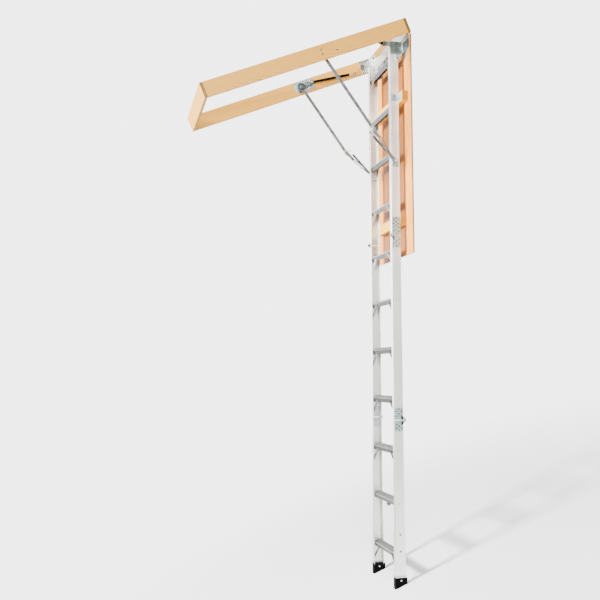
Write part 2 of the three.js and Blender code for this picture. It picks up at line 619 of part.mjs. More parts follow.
const root = new THREE.Group();
frameBoards(root);
headerLeaf(root);
for (const one of sides) {
  cornerBracket(root, one);
  armBracket(root, one);
  upperArm(root, one);
  sleeve(root, one);
  lowerLink(root, one);
  gasStrut(root, one);
}

const ladder = new THREE.Group();
ladder.position.set(HINGE_X, 0, HINGE_Z);
ladder.rotation.y = LEVEL;
root.add(ladder);

doorPieces(ladder);
rails(ladder, 'upper', UPPER_TOP, FOLD_UPPER - RAIL_CUT);
rails(ladder, 'middle', FOLD_UPPER + RAIL_CUT, FOLD_LOWER - RAIL_CUT);
rails(ladder, 'bottom', FOLD_LOWER + RAIL_CUT, RAIL_END);
for (let number = 1; number <= TREAD_COUNT; number += 1) {
  const level = tread(ladder, number);
  if (number === RING_TREAD) {
    ring(level);
  }
}
foldPlates(ladder);
for (const one of sides) {
  hingePlate(ladder, one);
  battenBracket(ladder, one);
  railClip(ladder, one);
  leg(ladder, one);
  shoe(ladder, one);
}

export default root;
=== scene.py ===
"""The looks of a folding aluminium attic ladder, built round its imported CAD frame.

Metres, in the frame's own axes: +X out of the header board, +Y to the ladder's left, +Z up.
Most pieces are made in the ladder's own axes: X from the steps back to the door, Z up the ladder.
"""

import json
import math

import bmesh
import bpy
from mathutils import Matrix, Vector

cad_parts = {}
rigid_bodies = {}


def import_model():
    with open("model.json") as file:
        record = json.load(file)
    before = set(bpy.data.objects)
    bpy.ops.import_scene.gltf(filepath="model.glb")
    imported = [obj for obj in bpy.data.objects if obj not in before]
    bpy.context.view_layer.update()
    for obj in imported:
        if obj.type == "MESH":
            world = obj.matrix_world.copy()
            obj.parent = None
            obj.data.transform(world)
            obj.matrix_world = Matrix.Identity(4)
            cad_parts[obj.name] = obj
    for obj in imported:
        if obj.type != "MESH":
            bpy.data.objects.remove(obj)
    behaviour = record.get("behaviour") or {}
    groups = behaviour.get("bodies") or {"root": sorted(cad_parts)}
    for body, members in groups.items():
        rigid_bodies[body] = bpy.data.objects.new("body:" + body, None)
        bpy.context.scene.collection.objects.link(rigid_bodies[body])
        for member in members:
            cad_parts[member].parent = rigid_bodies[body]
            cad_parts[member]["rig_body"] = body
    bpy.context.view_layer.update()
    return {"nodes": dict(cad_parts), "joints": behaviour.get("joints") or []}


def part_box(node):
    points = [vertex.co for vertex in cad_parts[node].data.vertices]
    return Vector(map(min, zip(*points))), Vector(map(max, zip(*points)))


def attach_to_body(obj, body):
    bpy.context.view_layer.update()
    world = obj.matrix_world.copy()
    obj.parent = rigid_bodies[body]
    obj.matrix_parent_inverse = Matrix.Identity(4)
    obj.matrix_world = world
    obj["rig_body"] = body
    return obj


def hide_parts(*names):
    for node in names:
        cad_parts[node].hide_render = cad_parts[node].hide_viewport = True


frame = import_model()
MM = 0.001
ZINC = "zinc_plated_steel"

# ---- Places, read from the frame ---------------------------------------------------------

JOINTS = {joint["name"]: joint for joint in frame["joints"]}


def pivot_of(joint):
    return Vector(JOINTS[joint]["pos_m"])


def axis_of(joint):
    return Vector(JOINTS[joint]["axis"]).normalized()


HINGE = pivot_of("door_hinge")
UP = Vector(JOINTS["leg_slide_right"]["axis"])
BACK = Vector((UP.z, 0, -UP.x))
FLOOR = min(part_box("shoe_right")[0].z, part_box("shoe_left")[0].z)
SIDES = {"right": -1, "left": 1}


def axes(x, y, z, origin=(0, 0, 0)):
    """The matrix of a local frame with these three directions and this origin."""
    columns = [Vector(x).normalized(), Vector(y).normalized(), Vector(z).normalized()]
    matrix = Matrix([[c[row] for c in columns] for row in range(3)]).to_4x4()
    matrix.translation = Vector(origin)
    return matrix


LADDER = axes(BACK, (0, 1, 0), UP, HINGE)
LEVEL = Matrix.Identity(4)
GRAIN_X = axes((0, 0, 1), (0, 1, 0), (-1, 0, 0))
GRAIN_Y = axes((0, 0, 1), (1, 0, 0), (0, 1, 0))


def ladder_box(node):
    """Lowest and highest corner of a CAD node in the ladder's own axes."""
    inverse = LADDER.inverted()
    points = [inverse @ v.co for v in frame["nodes"][node].data.vertices]
    low = Vector([min(p[i] for p in points) for i in range(3)])
    high = Vector([max(p[i] for p in points) for i in range(3)])
    return low, high


def outermost(box, sign):
    """Y of a box's face on one side's outside."""
    return box[1 if sign > 0 else 0].y


def innermost(box, sign):
    """Y of a box's face towards the ladder's middle."""
    return box[0 if sign > 0 else 1].y


def middle_of(box):
    return (Vector(box[0]) + Vector(box[1])) / 2


def mm(*points):
    """Points given in millimetres, in metres."""
    return [tuple(value * MM for value in point) for point in points]


# ---- Materials ---------------------------------------------------------------------------


class Graph:
    """A material's node tree, with short ways to add and join nodes."""

    def __init__(self, name):
        self.material = bpy.data.materials.new(name)
        self.material.use_nodes = True
        self.tree = self.material.node_tree
        self.shader = self.tree.nodes["Principled BSDF"]
        self.place = self.add("ShaderNodeTexCoord").outputs["Object"]

    def add(self, kind, inputs=None, **settings):
        node = self.tree.nodes.new(kind)
        for key, value in settings.items():
            setattr(node, key, value)
        for key, value in (inputs or {}).items():
            self.put(node.inputs[key], value)
        return node

    def put(self, socket, value):
        if isinstance(value, bpy.types.NodeSocket):
            self.tree.links.new(value, socket)
        else:
            socket.default_value = value

    def split(self, vector):
        return self.add("ShaderNodeSeparateXYZ", {"Vector": vector}).outputs

    def normal(self):
        """The face's direction in the piece's own axes."""
        return self.split(self.add("ShaderNodeTexCoord").outputs["Normal"])

    def stretch(self, scale, offset=(0, 0, 0)):
        values = {"Vector": self.place, "Scale": scale, "Location": offset}
        return self.add("ShaderNodeMapping", values).outputs["Vector"]

    def noise(self, scale, offset=(0, 0, 0), detail=4.0, roughness=0.55, distortion=0.0):
        values = {"Vector": self.stretch(scale, offset), "Scale": 1.0, "Detail": detail,
                  "Roughness": roughness, "Distortion": distortion}
        return self.add("ShaderNodeTexNoise", values).outputs["Fac"]

    def math(self, operation, first, second=0.0, third=0.0):
        node = self.add("ShaderNodeMath", operation=operation)
        for socket, value in zip(node.inputs, (first, second, third)):
            self.put(socket, value)
        return node.outputs[0]

    def times(self, first, second):
        return self.math("MULTIPLY", first, second)

    def range(self, value, low, high, to_low=0.0, to_high=1.0):
        values = {"Value": value, "From Min": low, "From Max": high, "To Min": to_low, "To Max": to_high}
        node = self.add("ShaderNodeMapRange", values, interpolation_type="SMOOTHSTEP")
        return node.outputs["Result"]

    def band(self, value, start, full, last, end):
        """1 between full and last, 0 outside start and end."""
        return self.times(self.range(value, start, full), self.range(value, last, end, 1.0, 0.0))

    def mix(self, factor, first, second, blend="MIX"):
        node = self.add("ShaderNodeMix", data_type="RGBA", blend_type=blend)
        self.put(node.inputs[0], factor)
        for socket, colour in ((node.inputs[6], first), (node.inputs[7], second)):
            self.put(socket, (*colour, 1) if isinstance(colour, tuple) else colour)
        return node.outputs[2]

    def finish(self, colour, roughness, height=None, distance=0.0, strength=0.0, **uniform):
        """Joins the colour, the roughness and the bump's height; uniform values go on the shader."""
        self.put(self.shader.inputs["Base Color"], colour)
        self.put(self.shader.inputs["Roughness"], roughness)
        if height is not None:
            bump = self.add("ShaderNodeBump", {"Height": height, "Distance": distance, "Strength": strength})
            self.put(self.shader.inputs["Normal"], bump.outputs["Normal"])
        for key, value in uniform.items():
            self.shader.inputs[key.replace("_", " ")].default_value = value
        return self.material


def darker(colour, share):
    return tuple(share * c for c in colour)


RING_WIDTH = 4.5 * MM
PLY_WAVES = 3100.0
RAIL_LINE = 0.186
DOOR_EDGE = 0.3035


def wood(name, pale, dark, knot, seed, knots=0.5, end=0.8):
    """Flat-sawn softwood with its grain along local Z: growth rings, fibres and a few knots."""
    g = Graph(name)
    offset = (0.011 * seed, 0, 0.37 * seed)
    knot_space = g.stretch((7.0, 1.5, 2.6), (0.31 * seed, 0, 0.53 * seed))
    cells = g.add("ShaderNodeTexVoronoi", {"Vector": knot_space, "Scale": 1.0, "Randomness": 0.8})
    lottery = g.add("ShaderNodeSeparateColor", {"Color": cells.outputs["Color"]}).outputs[0]
    chosen = g.math("LESS_THAN", lottery, knots)
    far = g.math("ADD", cells.outputs["Distance"], g.math("SUBTRACT", 1.0, chosen))
    near_knot = g.range(far, 0.0, 0.34, 1.0, 0.0)

    place = g.split(g.stretch((1, 1, 1), offset))
    depth = g.math("MULTIPLY_ADD", g.math("SINE", g.times(place[2], 2.1)), 0.035, 0.062)
    depth = g.math("ADD", depth, place[1])
    across_grain = g.math("MULTIPLY_ADD", g.noise((9, 9, 1.1), offset, 3.0), 0.05, place[0])
    radius = g.math("SQRT", g.math("ADD", g.times(across_grain, across_grain), g.times(depth, depth)))
    radius = g.math("MULTIPLY_ADD", near_knot, 0.011, radius)
    rings = g.math("FRACT", g.math("DIVIDE", radius, RING_WIDTH))
    late = g.band(rings, 0.35, 0.92, 0.93, 1.0)

    fibres = g.noise((420, 420, 9), offset, 5.0, 0.65)
    tone = g.math("MULTIPLY_ADD", late, 0.62, g.times(g.noise((14, 14, 1.4), offset, 3.0), 0.3))
    tone = g.math("ADD", tone, g.range(fibres, 0.35, 0.75, -0.08, 0.16))
    colour = g.mix(tone, pale, dark)
    knot_rings = g.math("FRACT", g.times(far, 34.0))
    knot_tone = g.mix(g.range(knot_rings, 0.3, 1.0), darker(knot, 0.62), knot)
    colour = g.mix(g.range(far, 0.05, 0.075, 1.0, 0.0), colour, knot_tone)
    colour = g.mix(g.range(far, 0.07, 0.2, 0.4, 0.0), colour, knot)
    end_grain = g.range(g.math("ABSOLUTE", g.normal()[2]), 0.7, 0.95, 0.0, end)
    colour = g.mix(end_grain, colour, darker(dark, 0.42))
    height = g.math("SUBTRACT", g.times(fibres, 0.6), g.times(late, 0.5))
    return g.finish(colour, g.range(fibres, 0.3, 0.8, 0.52, 0.72), height, 0.0003, 0.6,
                    Specular_IOR_Level=0.35)


def veneer(name, pale, dark):
    """Rotary-cut plywood with faint figure along local Z; on its ladder face, painted shade between the
    rails, a painted shadow line behind each rail and a painted shade line at its border; its edges show the
    plies, darkened as painted shade.
    """
    g = Graph(name)
    bands = g.math("FRACT", g.times(g.noise((5, 5, 0.7), detail=3.0), 11.0))
    figure = g.band(bands, 0.1, 0.8, 0.85, 1.0)
    fibres = g.noise((520, 520, 7), detail=5.0, roughness=0.6)
    tone = g.math("MULTIPLY_ADD", figure, 0.34, g.times(g.noise((3, 3, 0.8), detail=2.0), 0.4))
    tone = g.math("ADD", tone, g.range(fibres, 0.35, 0.8, -0.08, 0.18))
    colour = g.mix(tone, pale, dark)

    place = g.split(g.place)
    side = g.math("ABSOLUTE", place[1])
    facing_back = g.normal()[0]
    upper_face = g.math("LESS_THAN", facing_back, -0.5)
    # Painted shade on the ladder face between the rails.
    middle = g.times(upper_face, g.range(side, RAIL_LINE - 0.01, RAIL_LINE, 1.0, 0.0))
    colour = g.mix(middle, colour, (0.35, 0.30, 0.25), "MULTIPLY")
    # A painted shadow line on the ladder face behind each rail.
    rail_shadow = g.band(side, RAIL_LINE - 0.01, RAIL_LINE - 0.004, RAIL_LINE + 0.002, RAIL_LINE + 0.01)
    colour = g.mix(g.times(g.times(rail_shadow, upper_face), 0.75), colour, (0.22, 0.085, 0.012))
    # A painted shade line along the ladder face's side edges.
    border = g.times(upper_face, g.range(side, DOOR_EDGE - 0.003, DOOR_EDGE))
    colour = g.mix(border, colour, (0.185, 0.115, 0.02))

    # The edges show alternate plies; their dark tone is painted shade.
    plies = g.math("SINE", g.times(place[0], PLY_WAVES))
    edge = g.mix(g.range(plies, -0.6, 0.6), (0.075, 0.03, 0.008), (0.16, 0.066, 0.016))
    colour = g.mix(g.range(g.math("ABSOLUTE", facing_back), 0.3, 0.7, 1.0, 0.0), colour, edge)
    return g.finish(colour, g.range(fibres, 0.3, 0.8, 0.5, 0.68), g.times(fibres, 0.5), 0.0002, 0.5,
                    Specular_IOR_Level=0.35)


def extruded_aluminium(name, colour=(0.85, 0.856, 0.825), rough=0.36, worn=1.0):
    """Mill-finish aluminium with die lines along local Z, faint stains and small scratches."""
    g = Graph(name)
    lines = g.noise((900, 900, 1.2), detail=3.0, roughness=0.7)
    stains = g.noise((16, 16, 5), detail=5.0, roughness=0.6)
    scratches = g.range(g.noise((260, 90, 40), detail=6.0, roughness=0.7, distortion=1.2), 0.66, 0.7)
    tone = g.math("MULTIPLY_ADD", lines, 0.35, g.times(stains, 0.65))
    tone = g.math("MULTIPLY_ADD", g.math("SUBTRACT", tone, 0.5), worn, 0.5)
    shade = g.mix(tone, tuple(0.86 * c / worn ** 0.3 for c in colour), colour)
    shade = g.mix(g.times(scratches, 0.35), shade, (0.9, 0.9, 0.9))
    roughness = g.range(stains, 0.3, 0.75, rough - 0.07, rough + 0.1)
    roughness = g.math("ADD", roughness, g.times(scratches, 0.12))
    height = g.math("MULTIPLY_ADD", lines, 0.5, g.times(scratches, -0.6))
    return g.finish(shade, roughness, height, 0.00012, 0.55, Metallic=0.72)


def zinc_plate(name, bright=(0.66, 0.70, 0.69), dull=(0.44, 0.50, 0.50), rough=0.36):
    """Zinc-plated pressed steel: bluish, with uneven brightness, water marks and fine scuffs."""
    g = Graph(name)
    cloud = g.noise((38, 38, 38), roughness=0.6, distortion=0.8)
    grain = g.noise((950, 950, 950), detail=2.0)
    scuffs = g.range(g.noise((120, 500, 120), detail=5.0, distortion=1.5), 0.62, 0.72)
    shade = g.mix(g.math("MULTIPLY_ADD", grain, 0.2, g.range(cloud, 0.25, 0.75, 0.1, 0.7)), dull, bright)
    tint = g.mix(g.range(g.noise((21, 21, 21), detail=2.0), 0.45, 0.7), shade, (0.72, 0.70, 0.58))
    shade = g.mix(0.22, shade, tint)
    roughness = g.math("ADD", g.range(cloud, 0.3, 0.7, rough - 0.08, rough + 0.12), g.times(scuffs, 0.15))
    return g.finish(shade, roughness, grain, 0.00006, 0.2, Metallic=1.0)


def turned_steel(name, colour=(0.78, 0.79, 0.8), rough=0.14):
    """Ground or drawn bright steel, with very fine lines round it."""
    g = Graph(name)
    fine = g.noise((300, 300, 1500), detail=3.0)
    shade = g.mix(fine, darker(colour, 0.9), colour)
    return g.finish(shade, g.range(fine, 0.3, 0.7, rough - 0.04, rough + 0.06), fine, 0.00005, 0.3,
                    Metallic=1.0)


def black_coat(name, colour, rough):
    """Satin black paint with faint orange peel and dust."""
    g = Graph(name)
    dust = g.range(g.noise((60, 60, 60), detail=5.0), 0.55, 0.8)
    shade = g.mix(g.times(dust, 0.3), colour, (0.006, 0.006, 0.006))
    return g.finish(shade, g.math("MULTIPLY_ADD", dust, 0.15, rough), g.noise((700, 700, 700), detail=2.0),
                    0.0001, 0.3, Specular_IOR_Level=0.05)


def moulded_rubber(name, colour):
    """Matt black moulded rubber, with a fine pebble, rubbed greyer in patches."""
    g = Graph(name)
    pebble = g.add("ShaderNodeTexVoronoi", {"Vector": g.place, "Scale": 620.0}).outputs["Distance"]
    wear = g.range(g.noise((45, 45, 45), detail=6.0), 0.52, 0.75)
    shade = g.mix(g.times(wear, 0.5), colour, (0.004, 0.0039, 0.0038))
    return g.finish(shade, g.range(wear, 0.0, 1.0, 0.52, 0.78), pebble, 0.00025, 0.5,
                    Specular_IOR_Level=0.03)


PINE_PALE = (0.74, 0.375, 0.046)
PINE_DARK = (0.47, 0.19, 0.016)
PINE_KNOT = (0.17, 0.055, 0.010)

MATERIALS = {
    "batten": wood("batten_pine", (0.93, 0.53, 0.07), (0.72, 0.34, 0.034), (0.30, 0.11, 0.02), 5, 0.12,
                   0.95),
    "panel": veneer("door_veneer", (0.90, 0.335, 0.026), (0.68, 0.205, 0.016)),
    "aluminium": extruded_aluminium("aluminium_extrusion"),
    # The treads take a dark copy of the rails' aluminium as painted shade.
    "tread": extruded_aluminium("aluminium_tread_painted_shade", (0.13, 0.13, 0.127), 0.5, 2.4),
    "nose": extruded_aluminium("aluminium_nose", (0.33, 0.33, 0.325)),
    "zinc": zinc_plate("zinc_plate", rough=0.34),
    "bolt": zinc_plate("zinc_bolt", (0.50, 0.53, 0.54), (0.34, 0.38, 0.39), 0.3),
    "bar": zinc_plate("zinc_bar", (0.24, 0.25, 0.25), (0.165, 0.18, 0.18), 0.38),
    "dull_zinc": zinc_plate("zinc_dull", (0.24, 0.31, 0.29), (0.12, 0.17, 0.16)),
    "rivet": zinc_plate("zinc_rivet", (0.07, 0.085, 0.09), (0.03, 0.036, 0.04), 0.45),
    "fold_zinc": zinc_plate("zinc_fold_plate", (0.53, 0.65, 0.64), (0.31, 0.42, 0.42)),
    "foot_zinc": zinc_plate("zinc_foot", (0.09, 0.14, 0.155), (0.05, 0.078, 0.09)),
    "blue_zinc": zinc_plate("zinc_blue", (0.42, 0.56, 0.60), (0.26, 0.38, 0.42)),
    "strap": zinc_plate("zinc_strap", (0.80, 0.82, 0.80), (0.62, 0.66, 0.65), 0.34),
    "blue_steel": zinc_plate("blue_steel", (0.05, 0.085, 0.15), (0.02, 0.035, 0.07), 0.35),
    "rod": turned_steel("bright_rod"),
    "cylinder": black_coat("strut_black", (0.0012, 0.0012, 0.0013), 0.5),
    "dark": black_coat("dark_fastener", (0.02, 0.021, 0.023), 0.4),
    "rubber": moulded_rubber("shoe_rubber", (0.0012, 0.0012, 0.0013)),
}

# ---- Mesh helpers ------------------------------------------------------------------------


def new_object(name, bm, material, matrix, smooth=True):
    """A mesh object from a bmesh in local axes, placed by matrix."""
    mesh = bpy.data.meshes.new(name)
    bmesh.ops.recalc_face_normals(bm, faces=bm.faces)
    bm.to_mesh(mesh)
    bm.free()
    mesh.materials.append(material)
    mesh.polygons.foreach_set("use_smooth", [smooth] * len(mesh.polygons))
    piece = bpy.data.objects.new(name, mesh)
    bpy.context.scene.collection.objects.link(piece)
    piece.matrix_world = matrix
    return piece


def bake(piece):
    """Applies the object's modifiers to its mesh."""
    bpy.context.view_layer.update()
    graph = bpy.context.evaluated_depsgraph_get()
    mesh = bpy.data.meshes.new_from_object(piece.evaluated_get(graph))
    old = piece.data
    piece.modifiers.clear()
    piece.data = mesh
    mesh.name = piece.name
    bpy.data.meshes.remove(old)
    return piece


def soften(piece, width, segments=1, angle=35):
    """Rounds the sharp edges by a width in millimetres, and shades the flats flat."""
    bevel = piece.modifiers.new("bevel", "BEVEL")
    bevel.width = width * MM
    bevel.segments = segments
    bevel.limit_method = "ANGLE"
    bevel.angle_limit = math.radians(angle)
    bevel.harden_normals = False
    bevel.miter_outer = "MITER_ARC"
    piece.modifiers.new("normals", "WEIGHTED_NORMAL").keep_sharp = True
    return bake(piece)


def attach(piece, body, slot=ZINC, *nodes):
    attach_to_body(piece, body)
    if nodes:
        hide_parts(*nodes)
    return piece


def finished(name, bm, material, matrix, width, body, slot=ZINC, *nodes, segments=1, angle=35):
    """A piece from a bmesh, softened by a width in millimetres and attached to its body."""
    piece = soften(new_object(name, bm, MATERIALS[material], matrix), width, segments, angle)
    return attach(piece, body, slot, *nodes)


def body_of(node):
    return frame["nodes"][node]["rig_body"]


def refined(node, name, material, width, matrix=LEVEL, slot=ZINC, segments=2):
    """A CAD node's own shape with rounded edges, standing for that node."""
    bm = bmesh.new()
    bm.from_mesh(frame["nodes"][node].data)
    bmesh.ops.remove_doubles(bm, verts=bm.verts, dist=1e-6)
    bmesh.ops.dissolve_limit(bm, angle_limit=math.radians(1.0), verts=bm.verts, edges=bm.edges)
    bm.transform(matrix.inverted())
    return finished(name, bm, material, matrix, width, body_of(node), slot, node, segments=segments)


def rounded(points, radius, steps=4):
    """The outline with each corner turned into an arc; radius is one value or one for each corner."""
    radii = radius if isinstance(radius, list) else [radius] * len(points)
    result = []
    for i, corner in enumerate(points):
        corner = Vector(corner)
        before = Vector(points[i - 1]) - corner
        after = Vector(points[(i + 1) % len(points)]) - corner
        if radii[i] <= 0:
            result.append(corner)
            continue
        half = before.angle(after) / 2
        reach = min(radii[i] / math.tan(half), 0.49 * before.length, 0.49 * after.length)
        start = corner + before.normalized() * reach
        end = corner + after.normalized() * reach
        r = reach * math.tan(half)
        centre = corner + (before.normalized() + after.normalized()).normalized() * (r / math.sin(half))
        rays = [(start - centre).lerp(end - centre, k / steps) for k in range(steps + 1)]
        result += [centre + ray.normalized() * r for ray in rays]
    return result


def prism(bm, outline, low, high, matrix=LEVEL):
    """Extrudes an outline in X and Y from low to high along Z, then moves it by matrix."""
    bottom = [bm.verts.new(matrix @ Vector((x, y, low))) for x, y in outline]
    top = [bm.verts.new(matrix @ Vector((x, y, high))) for x, y in outline]
    bm.faces.new(list(reversed(bottom)))
    bm.faces.new(top)
    for i in range(len(outline)):
        j = (i + 1) % len(outline)
        bm.faces.new((bottom[i], bottom[j], top[j], top[i]))


def lathe(bm, profile, matrix, sides=32):
    """Turns a profile of (radius, height) round Z; it starts and ends on the axis."""
    rings = []
    for radius, height in profile:
        if radius < 1e-9:
            rings.append([bm.verts.new(matrix @ Vector((0, 0, height)))])
        else:
            angles = [2 * math.pi * k / sides for k in range(sides)]
            rings.append([bm.verts.new(matrix @ Vector((radius * math.cos(a), radius * math.sin(a), height)))
                          for a in angles])
    for lower, upper in zip(rings, rings[1:]):
        for k in range(sides):
            corners = [lower[k % len(lower)], lower[(k + 1) % len(lower)],
                       upper[(k + 1) % len(upper)], upper[k % len(upper)]]
            unique = list(dict.fromkeys(corners))
            if len(unique) > 2:
                bm.faces.new(unique)


def facing(direction, origin):
    """A local frame with Z along a direction."""
    z = Vector(direction).normalized()
    helper = Vector((0, 0, 1)) if abs(z.z) < 0.9 else Vector((1, 0, 0))
    x = helper.cross(z).normalized()
    return axes(x, z.cross(x), z, origin)


def turned_head(sides, *profile):
    """A maker of round heads from points of (share of the radius, height in millimetres)."""
    def make(bm, matrix, radius):
        lathe(bm, [(share * radius, height * MM) for share, height in profile], matrix, sides)
    return make


washer = turned_head(28, (0, -0.3), (1, -0.3), (1, 0.54), (0.95, 0.9), (0, 0.9))
collared_rivet = turned_head(24, (0, -0.4), (1, -0.4), (1, 0.9), (0.88, 1.6), (0.62, 1.7), (0.48, 1.2),
                             (0.42, 0.2), (0, 0.1))
countersunk_head = turned_head(24, (0, -0.5), (1, -0.5), (1, 0.05), (0.92, 0.2), (0.3, 0.2), (0.18, -0.3),
                               (0, -0.3))
pan_head = turned_head(24, (0, -0.3), (1, -0.3), (1, 0.7), (0.9, 1.5), (0.55, 2.0), (0.3, 2.0), (0.16, 1.1),
                       (0, 1.1))
hub_disc = turned_head(40, (0, -0.3), (1, -0.3), (1, 0.8), (0.8, 1.6), (0.6, 1.2), (0, 1.2))


def dome(bm, matrix, radius, height):
    """A rivet's domed head on the plane Z = 0."""
    steps = 6
    angles = [math.pi / 2 * k / steps for k in range(1, steps)]
    arc = [(radius * math.cos(a), height * (0.15 + 0.85 * math.sin(a))) for a in angles]
    lathe(bm, [(0, -0.4 * MM), (radius, -0.4 * MM), (radius, 0.15 * height), *arc, (0, height)], matrix, 20)


def hex_nut(bm, matrix, radius, height, base=0.0):
    """A chamfered hexagon that stands on the height base."""
    corners = [(radius * math.cos(math.pi * k / 3), radius * math.sin(math.pi * k / 3)) for k in range(6)]
    prism(bm, corners, base, base + 0.8 * height, matrix)
    chamfer = ((0, 0.5), (0.93, 0.72), (0.86, 0.93), (0.8, 1), (0, 1))
    lathe(bm, [(share * radius, base + part * height) for share, part in chamfer], matrix, 28)


def hex_head(bm, matrix, radius, height):
    """A bolt's hexagon on its round washer."""
    washer(bm, matrix, 1.45 * radius)
    hex_nut(bm, matrix, radius, height, 0.9 * MM)


def fasteners(name, body, places, make, material="bolt", slot=ZINC, **sizes):
    """Several fasteners of one kind as one piece; places are (origin, direction), sizes in mm."""
    bm = bmesh.new()
    for origin, direction in places:
        make(bm, facing(direction, origin), **{key: size * MM for key, size in sizes.items()})
    return finished(name, bm, material, LEVEL, 0.15, body, slot, angle=40)


def cut_away(piece, cutter_bm):
    """Cuts a closed shape, given in the piece's own axes, out of a piece."""
    cutter = new_object("cutter", cutter_bm, piece.data.materials[0], piece.matrix_world.copy())
    cut = piece.modifiers.new("cut", "BOOLEAN")
    cut.object = cutter
    cut.operation = "DIFFERENCE"
    cut.solver = "EXACT"
    bake(piece)
    mesh = cutter.data
    bpy.data.objects.remove(cutter)
    bpy.data.meshes.remove(mesh)
    return piece


def flat(piece):
    """Shades every face flat, so long cut faces stay even."""
    piece.data.polygons.foreach_set("use_smooth", [False] * len(piece.data.polygons))
    return piece


# ---- Ladder-wide sizes -------------------------------------------------------------------

ACROSS = axes((1, 0, 0), (0, 0, 1), (0, -1, 0))
ALONG = axes((0, 1, 0), (0, 0, 1), (1, 0, 0))

RAIL_LOW, RAIL_HIGH = ladder_box("middle_rail_left")
FRONT, REAR = RAIL_LOW.x, RAIL_HIGH.x
MIDDLE = (FRONT + REAR) / 2
HALF = RAIL_HIGH.y
FLANGE = RAIL_HIGH.y - RAIL_LOW.y
WEB = 2.5 * MM
LIP = 3 * MM
SHEET = 2.5 * MM
LAYER = HALF + 0.8 * MM
OUTSIDE = LAYER + SHEET


def across(bm, outline, sign, inner, outer):
    """Extrudes an outline in X and Z between two distances from the middle, on one side."""
    low, high = sorted((-sign * inner, -sign * outer))
    prism(bm, outline, low, high, ACROSS)


def rounded_plate(bm, sign, x0, x1, z0, z1, inner, outer, corner, steps=5):
    across(bm, rounded([(x0, z0), (x1, z0), (x1, z1), (x0, z1)], corner, steps), sign, inner, outer)


def side_axis(x, z, sign):
    """A local frame with Z pointing out of the ladder's side, so heights are distances from the middle."""
    return axes((0, 0, 1), (sign, 0, 0), (0, sign, 0), (x, 0, z))


def disc(bm, x, z, sign, radius, inner, outer):
    lathe(bm, [(0, inner), (radius, inner), (radius, outer), (0, outer)], side_axis(x, z, sign), 40)


def on_side(sign, distance, points, out=1, x=0.0, z=0.0):
    """Fastener places on the ladder's side, at points in millimetres from X, Z, facing out or in (-1)."""
    return [(LADDER @ Vector((x + dx * MM, sign * distance, z + dz * MM)), (0, out * sign, 0))
            for dx, dz in points]


def beside(point, sign, distance, way):
    """One fastener place at a point of the frame, moved to a distance from the middle."""
    return [(Vector((point.x, sign * distance, point.z)), (0, way * sign, 0))]


def on_wall(y, way, points):
    """Fastener places on a frame board or bracket at a distance Y, at points of X and Z in millimetres."""
    return [((x * MM, y, z * MM), (0, way, 0)) for x, z in points]


def ribbon(path, thickness):
    """The outline of a bent strip of even thickness that follows a path."""
    path = [Vector(p) for p in path]
    left, right = [], []
    for i, point in enumerate(path):
        ahead = (path[min(i + 1, len(path) - 1)] - path[max(i - 1, 0)]).normalized()
        normal = Vector((-ahead.y, ahead.x)) * thickness / 2
        left.append(point + normal)
        right.append(point - normal)
    return left + right[::-1]


# ---- Ceiling frame -----------------------------------------------------------------------

BOARD_BOLTS = ((-596, 15), (-598, -12), (-502, -16))


def board(node, turn, seed, knots, tone=1.0):
    """A frame board in pine of its own, with a darker tone for the end boards as painted shade."""
    matrix = turn.copy()
    matrix.translation = middle_of(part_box(node))
    MATERIALS[node] = wood(f"pine_board_{seed}", darker(PINE_PALE, tone), darker(PINE_DARK, tone), PINE_KNOT,
                           seed, knots)
    return flat(refined(node, node + "_wood", node, 1.1, matrix, "pine", 3))


def bolt_pockets(piece, side):
    """Counterbored nuts on the outer face of a side board, each just under the surface."""
    sign = SIDES[side]
    outer = outermost(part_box("frame_side_board_" + side), sign)
    inverse = piece.matrix_world.inverted()
    bm = bmesh.new()
    for spot, way in on_wall(outer, sign, BOARD_BOLTS):
        lathe(bm, mm((0, -4), (6.5, -4), (6.5, 2), (0, 2)), inverse @ facing(way, spot), 28)
    flat(cut_away(piece, bm))
    fasteners(f"board_nuts_{side}", "frame", on_wall(outer - sign * 3.9 * MM, sign, BOARD_BOLTS), hex_nut,
              "dull_zinc", radius=5.8, height=3.2)


def ceiling_frame():
    boards = {"right": board("frame_side_board_right", GRAIN_X, 3, 0.42),
              "left": board("frame_side_board_left", GRAIN_X, 11, 0.5)}
    # The header and latch boards are darkened as painted shade.
    board("frame_header_board", GRAIN_Y, 7, 0.3, 0.55)
    board("frame_latch_board", GRAIN_Y, 19, 0.2, 0.75)
    for side, piece in boards.items():
        bolt_pockets(piece, side)


def wall_plates(name, sign, wall, material, patches, thick=0.9):
    """Flat patches (X from, X to, Z from, Z to, in millimetres) on the inner face of a side bracket."""
    bm = bmesh.new()
    for patch in mm(*patches):
        rounded_plate(bm, sign, *patch, abs(wall) - thick * MM, abs(wall) + 0.2 * MM, 2 * MM, 4)
    finished(name, bm, material, LEVEL, 0.3, "frame")


